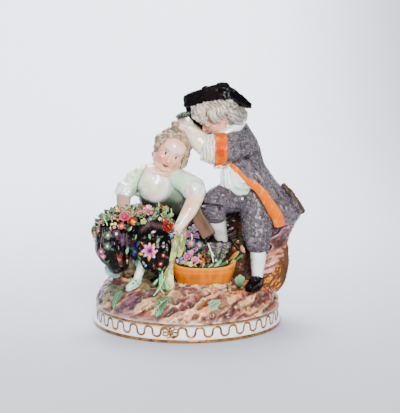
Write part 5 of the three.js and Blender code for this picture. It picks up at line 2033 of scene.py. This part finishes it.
@dataclass
class Garden:
    """All the applied flowers and leaves: in the lap, in the tub, in the wreath and on the ground."""

    mound: Mound

    def build(self) -> list[Piece]:
        """Plant every bunch."""
        return [self.lap(), self.tub(), self.wreath(), self.ground()]

    def lap(self) -> Piece:
        """Heap a garland of blossoms over the girl's lap."""
        posy = Posy("lap_flowers", 401)
        for x, y, z, size, kind, petal, heart in (
            (-36.7, -27, 69.4, 4.2, "rose", tint(228, 128, 160), ROSE),
            (-31.6, -30.4, 66.6, 5.6, "cup", tint(214, 66, 34), YELLOW),
            (-11.2, -31, 64.6, 4.0, "pink", SCARLET, tint(150, 26, 22)),
            (-45.6, -22, 69.0, 2.9, "star", VIOLET, YELLOW),
            (-23.1, -25.4, 73.0, 3.5, "daisy", PINK, ROSE),
            (-16.0, -23, 74.2, 3.3, "cup", tint(206, 128, 54), tint(120, 60, 24)),
            (-12.6, -23, 73.4, 2.4, "star", tint(206, 186, 110), LEAF),
            (-18.4, -26, 69.0, 3.0, "star", BLUE, YELLOW),
            (-43.0, -25, 62.6, 3.3, "star", CREAM, YELLOW),
            (-50.2, -19, 63.4, 3.0, "rose", PINK, ROSE),
            (-54.0, -16, 56.6, 2.8, "star", PINK, ROSE),
            (-48.4, -22.6, 57.6, 3.1, "daisy", CREAM, YELLOW),
            (-40.6, -22, 73.0, 2.4, "tiny", CREAM, YELLOW),
            (-34.6, -22, 73.4, 2.4, "star", tint(226, 224, 150), PALE_LEAF),
            (-28.4, -25.4, 71.4, 2.9, "star", MAUVE, YELLOW),
            (-21.4, -28.4, 68.0, 2.4, "star", tint(150, 120, 150), PALE_LEAF),
            (-9.2, -31.6, 59.0, 2.7, "star", tint(46, 56, 110), PALE_BLUE),
            (-25.6, -29.6, 67.0, 2.2, "tiny", PALE_LEAF, YELLOW),
            (-38.6, -29, 64.0, 2.6, "star", tint(210, 82, 110), YELLOW),
            (-52.6, -21.6, 59.8, 2.4, "tiny", VIOLET, YELLOW),
            (-29.6, -20, 74.4, 2.5, "tiny", PALE_BLUE, YELLOW),
            (-44.6, -15, 70.0, 3.0, "rose", SALMON, RUST),
            (-35, -12, 71.6, 3.4, "daisy", PINK, YELLOW),
            (-26, -12, 71.4, 3.2, "cup", ORANGE, YELLOW),
            (-47.6, -9, 67.4, 3.2, "pink", SCARLET, ROSE),
            (-40.6, -7, 70.2, 3.0, "star", BLUE, YELLOW),
        ):
            posy.flower(
                (x, y, z), (0.012 * (x + 26), -1.0, 0.42 + 0.03 * (z - 66)), size, kind, petal, heart,
            )
        greens = (
            tint(92, 140, 88), tint(170, 196, 150), tint(44, 84, 52), tint(72, 112, 76),
            tint(190, 200, 136),
        )
        route, _ = through(
            [
                (-55, -14, 56), (-50.6, -17, 64), (-41, -23, 70), (-27, -25.4, 71), (-12, -27, 66),
                (-8.4, -29, 60),
            ],
            12,
        )
        tints = (
            MAUVE, tint(150, 160, 150), PINK, tint(196, 120, 60), VIOLET, CREAM, tint(110, 130, 150),
            SCARLET,
        )
        # Dark green balls behind the leaves stand in for the shade among them.
        for spot in route[4::6]:
            posy.ball(Vector(spot) + Vector((0, 4.6, -1.4)), 4.6, tint(62, 84, 56))
        for k, spot in enumerate(route):
            for n in range(4):
                away = posy.rng.normal(size=3) * (0.8, 0.35, 0.8) + (0.02 * (spot[0] + 28), -0.45, 0.5)
                base = spot + (posy.rng.uniform(-1.5, 1.5), 1.8 + 0.6 * n, posy.rng.uniform(-2.4, 2.6))
                posy.leaf(base, away, (0, -1, 0.35), posy.rng.uniform(2.8, 4.6), greens[(k + 2 * n) % 5])
            if k % 5 in (1, 3):
                bud = (
                    spot
                    + (posy.rng.uniform(-2, 2), posy.rng.uniform(-2.6, -0.6), posy.rng.uniform(-3.4, 3.4))
                )
                posy.flower(
                    bud, (0.02 * (spot[0] + 28), -1, 0.4), posy.rng.uniform(1.3, 1.9),
                    ("tiny", "star")[k // 2 % 2], tints[k // 2 % 8], YELLOW,
                )
        for k in range(70):
            spot = (
                route[int(posy.rng.integers(len(route)))] + posy.rng.normal(size=3) * (1.6, 0.4, 2.0)
                + (0, -2.4, 0)
            )
            way = Vector(
                posy.rng.normal(size=3) * (0.8, 0.3, 0.7) + (0.02 * (spot[0] + 28), -0.3, 0.5)
            ).normalized()
            tip = Vector(spot) + way * posy.rng.uniform(2.6, 4.6)
            tip.x = max(tip.x, -55.5)
            posy.stem(
                [spot, (Vector(spot) + tip) / 2 + Vector((0.4, -0.3, 0.2)), tip], 0.24,
                (tint(196, 214, 176), tint(150, 190, 130), tint(104, 150, 92))[k % 3],
            )
        for joints in (
            [(-17.6, -24, 71.6), (-16.8, -25, 77.6)],
            [(-20.4, -25, 68), (-22.6, -24, 76)],
            [(-10.2, -27, 69.6), (-9.4, -26, 74)],
            [(-46.6, -24, 60), (-49.4, -23, 68)],
            [(-44.4, -24, 66), (-47.4, -22, 71.6)],
        ):
            posy.stem(
                [joints[0], (np.array(joints[0]) + np.array(joints[1])) / 2 + (0.6, -0.4, 0), joints[1]],
                0.36, tint(196, 216, 180),
            )
        return posy.plant()

    def tub(self) -> Piece:
        """Fill the tub with blossoms, and lean a rosebud on the post."""
        posy = Posy("tub_flowers", 402)
        # A dark green ball in the tub stands in for the shade among the flowers.
        posy.ball(Vector((5, -13, 46)), 8.4, tint(48, 58, 40))
        for x, y, z, size, kind, petal, heart in (
            (-0.7, -15, 61.6, 4.3, "cup", tint(236, 168, 196), tint(190, 92, 140)),
            (3.8, -14, 59.6, 3.4, "star", tint(190, 160, 186), VIOLET),
            (0.6, -18.6, 57.2, 2.8, "rose", tint(206, 150, 184), MAUVE),
            (2.4, -19.4, 51.8, 3.7, "daisy", tint(70, 104, 176), YELLOW),
            (7.2, -19.0, 50.6, 3.2, "star", tint(88, 120, 186), YELLOW),
            (-2.8, -21, 52.2, 2.4, "rose", SCARLET, tint(120, 16, 20)),
            (4.6, -21.4, 47.6, 3.1, "cup", tint(214, 160, 196), MAUVE),
            (0.2, -23.6, 44.4, 3.2, "rose", tint(224, 160, 190), tint(176, 90, 140)),
            (5.0, -25.6, 42.6, 3.1, "rose", tint(234, 176, 204), tint(190, 100, 150)),
            (9.6, -21.6, 46.0, 3.2, "cup", tint(214, 124, 54), tint(140, 64, 30)),
            (11.0, -18.6, 48.4, 3.0, "pink", tint(130, 70, 100), tint(90, 40, 66)),
            (13.4, -20.0, 45.4, 2.4, "star", MAUVE, YELLOW),
            (-6.4, -20.4, 45.6, 2.7, "star", tint(140, 96, 130), YELLOW),
            (-4.2, -23, 42.2, 2.7, "star", tint(206, 196, 220), VIOLET),
            (8.4, -24.6, 42.2, 2.6, "star", ORANGE, YELLOW),
            (11.6, -22.0, 42.6, 2.7, "rose", tint(176, 66, 40), RUST),
            (-8.6, -15, 44, 2.8, "daisy", PINK, YELLOW),
            (-7.6, -23.6, 43.0, 2.2, "rose", tint(150, 120, 138), MAUVE),
            (-1.4, -22.6, 48.6, 2.4, "cup", tint(170, 190, 176), LEAF),
            (2.4, -24.6, 47.2, 2.0, "tiny", tint(206, 170, 210), YELLOW),
            (7.4, -24.4, 45.2, 2.0, "tiny", tint(120, 100, 150), YELLOW),
            (12.4, -24.0, 41.4, 2.2, "cup", tint(196, 104, 50), RUST),
            (2.6, -26.4, 40.6, 2.0, "tiny", CREAM, YELLOW),
            (-3.6, -19.6, 55.0, 2.0, "tiny", tint(210, 180, 206), YELLOW),
            (5.6, -17.4, 56.0, 2.2, "rose", tint(178, 130, 170), MAUVE),
            (-3, -10, 50, 3.2, "rose", PINK, ROSE),
            (4, -8, 53.6, 3.2, "daisy", CREAM, YELLOW),
            (12, -7.6, 45, 3.2, "cup", YELLOW, ORANGE),
            (-2.6, -6, 45.6, 3.2, "star", BLUE, YELLOW),
            (29.4, -8.4, 50.0, 2.8, "cup", tint(178, 84, 44), tint(96, 40, 26)),
            (32.6, -9.4, 45.8, 3.6, "rose", tint(226, 190, 174), tint(176, 100, 84)),
            (27.6, -9.0, 46.2, 2.4, "rose", tint(196, 110, 70), RUST),
        ):
            facing = (0.05 * (x - 6), -1 if y < -12 else 0.5, 0.5)
            posy.flower((x, y, z), facing, size, kind, petal, heart)
        tints = (
            tint(118, 130, 144), tint(158, 126, 142), tint(196, 196, 190), tint(128, 92, 98),
            tint(92, 114, 128), tint(160, 144, 118),
        )
        for k in range(63):
            row, across = k // 9, k % 9 - 4
            spread = 1.42 * (1 - 0.07 * (6 - row))
            spot = (
                19.6 + (across + 0.5 * (row % 2)) * spread - 0.3 * (6 - row), -17.6 + 0.16 * across**2,
                41.4 + row * 1.55,
            )
            posy.flower(
                spot, (0.1 * across, -1, 0.1 * row - 0.1), 1.2, "tiny", tints[(k * 5) % 6],
                (tint(206, 186, 130), tint(160, 84, 108), tint(70, 90, 128))[k % 3],
            )
        posy.ball(Vector((19.2, -12.4, 46)), 5.2, tint(90, 108, 100))
        greens = (LEAF, PALE_LEAF, DEEP_LEAF, tint(62, 120, 72))
        for k in range(46):
            turn = 2 * math.pi * k / 46 * 3
            reach = 0.35 + 0.6 * ((k * 7) % 10) / 10
            base = (
                8 + 15 * reach * math.cos(turn), -16 + 8 * reach * math.sin(turn),
                38.6 + 9 * (1 - reach) ** 0.6,
            )
            away = (0.7 * math.cos(turn) + posy.rng.normal() * 0.3, 0.6 * math.sin(turn) - 0.25, 0.7)
            posy.leaf(base, away, (0, -0.6, 1), posy.rng.uniform(4, 6.5), greens[k % 4])
        posy.leaf((14, -23, 39.6), (0.9, -0.5, 0.25), (0, -0.8, 1), 8.6, PALE_LEAF)
        posy.leaf((18, -24.4, 38.8), (0.7, -0.3, 0.3), (0, -0.8, 1), 7, LEAF)
        posy.leaf((-2.6, -24.4, 40.6), (0.9, -0.5, 0.1), (0, -0.8, 0.6), 5.2, tint(214, 220, 130))
        for k, x in enumerate(np.arange(-8, 27, 1.7)):
            edge = (
                x, -16 - 11.2 * math.sqrt(max(1 - ((x - 9.8) / 19) ** 2, 0)), 38.8 + 0.006 * (x - 9.8) ** 2,
            )
            posy.leaf(
                edge, (posy.rng.normal() * 0.8, -0.2, 0.7), (0, -1, 0.3), posy.rng.uniform(2.6, 4.2),
                (PALE_LEAF, greens[3], tint(186, 214, 190), DEEP_LEAF)[k % 4],
            )
        for base, way, length, colour in (
            ((26.4, -14.6, 39.4), (0.6, -0.1, 0.9), 8.6, tint(186, 190, 96)),
            ((27.6, -14.2, 39.0), (0.85, -0.1, 0.75), 8.0, LEAF),
            ((24.2, -15, 39.4), (0.75, 0, 0.8), 9.4, tint(214, 146, 56)),
        ):
            posy.leaf(base, way, (0, -1, 0.1), length, colour, 0.1, 0.13)
        for joints in (
            [(12.6, -21, 52), (14.4, -22, 46.8), (15.8, -22, 40.8)],
            [(13.8, -20.4, 47.6), (16.6, -21.6, 43.6), (17.6, -22, 40)], [(2.6, -17, 57), (3.2, -18, 52)],
        ):
            posy.stem(joints, 0.42, tint(232, 234, 220))
        return posy.plant()

    def wreath(self) -> Piece:
        """Twist the small green wreath in the boy's hands."""
        posy = Posy("wreath", 403)
        spots = [
            (-2.6 + 2.4 * math.cos(a), -5 + 2.8 * math.sin(a), 127 + 0.8 * math.cos(a)) for a in circle(15)
        ]
        posy.stem([*spots, spots[0]], 0.7, tint(70, 84, 44))
        for k, spot in enumerate(spots):
            a = 2 * math.pi * k / 15
            posy.ball(Vector(spot), 1.2, tint(24, 50, 30))
            for n in range(5):
                away = (math.cos(a) * 0.6 + posy.rng.normal() * 0.6, math.sin(a) * 0.5 - 0.3, 0.7 - 0.4 * n)
                green = (tint(20, 56, 28), tint(38, 94, 44), tint(84, 128, 66))[(k + n) % 3]
                posy.leaf(spot, away, (-0.2, -0.8, 0.6), posy.rng.uniform(1.6, 2.6), green)
        return posy.plant()

    def frond(
        self, posy: Posy, start: tuple[float, float], end: tuple[float, float], reach: float,
        colour: Colour,
    ) -> None:
        """Lay one feathered leaf flat on the ground, its leaflets paired along a rib.

        Args:
            posy: The bunch that it joins.
            start: Where its rib starts, as x and y.
            end: Where the rib ends.
            reach: The longest leaflet's length.
            colour: The leaflets' colour at their tips.
        """
        rib = [
            Vector(self.mound.at(*(np.array(start) + (np.array(end) - start) * share), 1.1))
            for share in np.linspace(0, 1, 8)
        ]
        posy.stem(rib, 0.3, shaded(colour, 1, 0.1))
        for k, spot in enumerate(rib[:-1]):
            for side in (-1, 1):
                out = Matrix.Rotation(math.radians(52 * side), 3, "Z") @ (rib[k + 1] - spot).normalized()
                length = reach * (1 - 0.75 * abs(k / 7 - 0.4))
                tip = Vector(self.mound.at(spot.x + out.x * length, spot.y + out.y * length, 0.9))
                posy.petal(
                    spot, tip - spot, Vector((0, -0.5, 1)), (tip - spot).length, 0.75, 0.04,
                    shaded(colour, 0.45), colour,
                )

    def ground(self) -> Piece:
        """Scatter the large leaves and stems that lie on the rock."""
        posy = Posy("ground_leaves", 404)
        green = tint(96, 206, 122)
        # Three feathered leaves lie flat on the slope in front, and four at the back and the left.
        self.frond(posy, (-9.4, -47.6), (-18.6, -51.6), 5.0, tint(116, 186, 136))
        self.frond(posy, (-39.4, -28.8), (-43.0, -34.8), 5.4, tint(126, 190, 148))
        self.frond(posy, (19.4, -47.8), (13.0, -51.4), 2.8, tint(166, 208, 180))
        for start, end, colour in (
            ((28, 40), (36, 38), LEAF),
            ((-30, 40), (-22, 46), PALE_LEAF),
            ((2, 44), (10, 49), LEAF),
            ((-45, 20), (-46, 12), PALE_LEAF),
        ):
            self.frond(posy, start, end, 4.0, colour)
        # The leaf and stems that hang from the skirt's tip to the ground.
        for base, way, length, colour in (
            ((-14.4, -37.6, 40), (-0.1, -0.2, -1), 9.6, green),
            ((-15.4, -38.6, 36), (-0.8, -0.3, -0.9), 7.4, tint(60, 160, 90)),
            ((-13.6, -38.8, 35), (0.35, -0.3, -1), 8.0, tint(120, 214, 146)),
            ((-15.0, -39.8, 32), (-0.45, -0.5, -0.8), 7.0, green),
            ((-16.4, -39.6, 34), (0.1, -0.3, -1), 6.0, tint(44, 128, 74)),
        ):
            posy.leaf(base, way, (-0.1, -1, 0.1), length, colour, 0.06, 0.17)
        for joints in (
            [(-12.8, -39.4, 36), (-15.4, -42.4, 30.6), (-19.4, -45.4, 25.8)],
            [(-15.8, -39.4, 37), (-15.6, -42.6, 30), (-13.4, -44.6, 26.8)],
        ):
            posy.stem(joints, 0.27, tint(196, 236, 196))
        # The upright rounded leaf between the tub and the boy's foot.
        base = self.mound.at(31.4, -25)
        for lean, length in ((-0.25, 7.2), (0.2, 7.6), (0.0, 8.4)):
            posy.petal(
                Vector(base), Vector((lean, -0.2, 1)), Vector((0.2, -1, 0)), length + 1, 2.1, 0.1,
                DEEP_LEAF, tint(156, 200, 156),
            )
        return posy.plant()


@dataclass
class Studio:
    """The pale photographer's table, its soft lamps, and the camera."""

    eye: Point = (7.697, -984.808, 244.432)
    pitch: float = 80.0
    lens: float = 143.43
    sensor: float = 36.0
    reach: tuple[float, float] = (0.05, 10.0)
    front: float = -4.0
    wall: float = 1.3
    half_width: float = 4.0
    height: float = 2.4
    sweep: float = 0.6

    def build(self) -> None:
        """Set the table, the lamps and the camera."""
        self.table()
        self.lamps()
        self.camera()

    def table(self) -> None:
        """Sweep a pale sheet from under the group up the wall behind it."""
        mesh = bpy.data.meshes.new("studio_sheet")
        rows = ((self.front, 0), (self.wall, 0), (self.wall, self.height))
        corners = [(x, y, z) for y, z in rows for x in (-self.half_width, self.half_width)]
        mesh.from_pydata(corners, [], [(0, 1, 3, 2), (2, 3, 5, 4)])
        sheet = bpy.data.objects.new("studio_sheet", mesh)
        bpy.context.collection.objects.link(sheet)
        finish_with(sheet, "BEVEL", width=self.sweep, segments=16, limit_method="ANGLE")
        bpy.ops.object.shade_smooth()
        made = bpy.data.materials.new("studio_paper")
        made.use_nodes = True
        tree = Tree(made.node_tree)
        where = tree.place()
        axes = tree.node("SeparateXYZ", {"Vector": where}).outputs
        # Painted shade: the paper is darker towards the front and to the right of the group.
        painted_shade = tree.mix(tree.ramp(axes["Y"], -0.22, 0.36), (0.395, 0.42, 0.475), (0.86, 0.89, 1.0))
        painted_shade = tree.mix(tree.ramp(axes["X"], 0.04, 0.3), painted_shade, (0.286, 0.304, 0.344))
        speck = tree.mix(tree.ramp(tree.noise(where, 900), 0.3, 0.7), painted_shade, (0.7, 0.71, 0.75))
        shader = tree.node("BsdfPrincipled", {"Base Color": tree.mix(0.1, painted_shade, speck), "Roughness": 0.75})
        tree.node("OutputMaterial", {0: shader.outputs[0]})
        sheet.data.materials.append(made)

    def lamps(self) -> None:
        """Hang the soft lamps: a broad one over the camera, a fill, one from above, and one for the wall."""
        world = bpy.data.worlds.new("studio_air")
        bpy.context.scene.world = world
        world.use_nodes = True
        air = world.node_tree.nodes["Background"]
        air.inputs["Color"].default_value = (0.93, 0.95, 1.0, 1)
        air.inputs["Strength"].default_value = 0.06
        for name, at, target, size, power in (
            ("key_lamp", (0.18, -1.1, 0.52), (0, 0, 0.07), 0.5, 28.0),
            ("fill_lamp", (-0.9, -0.6, 0.4), (0, 0, 0.06), 0.6, 2.0),
            ("top_lamp", (-0.1, 0.15, 1.1), (0, 0.05, 0.0), 0.8, 9.0),
            ("wall_lamp", (0, 0.75, 1.4), (0, 1.4, 0.2), 0.9, 56.0),
        ):
            light = bpy.data.lights.new(name, "AREA")
            light.energy, light.size, light.shape = power, size, "DISK"
            lamp = bpy.data.objects.new(name, light)
            lamp.location = at
            lamp.rotation_euler = (Vector(target) - Vector(at)).to_track_quat("-Z", "Y").to_euler()
            bpy.context.collection.objects.link(lamp)

    def camera(self) -> None:
        """Stand the camera in front of the group and a little above it."""
        data = bpy.data.cameras.new("camera")
        data.lens, data.sensor_width = self.lens, self.sensor
        data.clip_start, data.clip_end = self.reach
        camera = bpy.data.objects.new("camera", data)
        camera.location = Vector(self.eye) * MM
        camera.rotation_euler = (math.radians(self.pitch), 0, 0)
        bpy.context.collection.objects.link(camera)
        bpy.context.scene.camera = camera


def main() -> None:
    """Build every part of the group in order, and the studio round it."""
    logging.basicConfig(level=logging.INFO, format="%(name)s: %(message)s")
    mound = Mound()
    pieces = []
    for part in (mound, Crag(), Tub(), Girl(), Boy(), CockedHat(), Garden(mound)):
        pieces += part.build()
    log.info("%d pieces, %d faces", len(pieces), sum(len(piece.data.polygons) for piece in pieces))
    Studio().build()


if __name__ == "__main__":
    main()
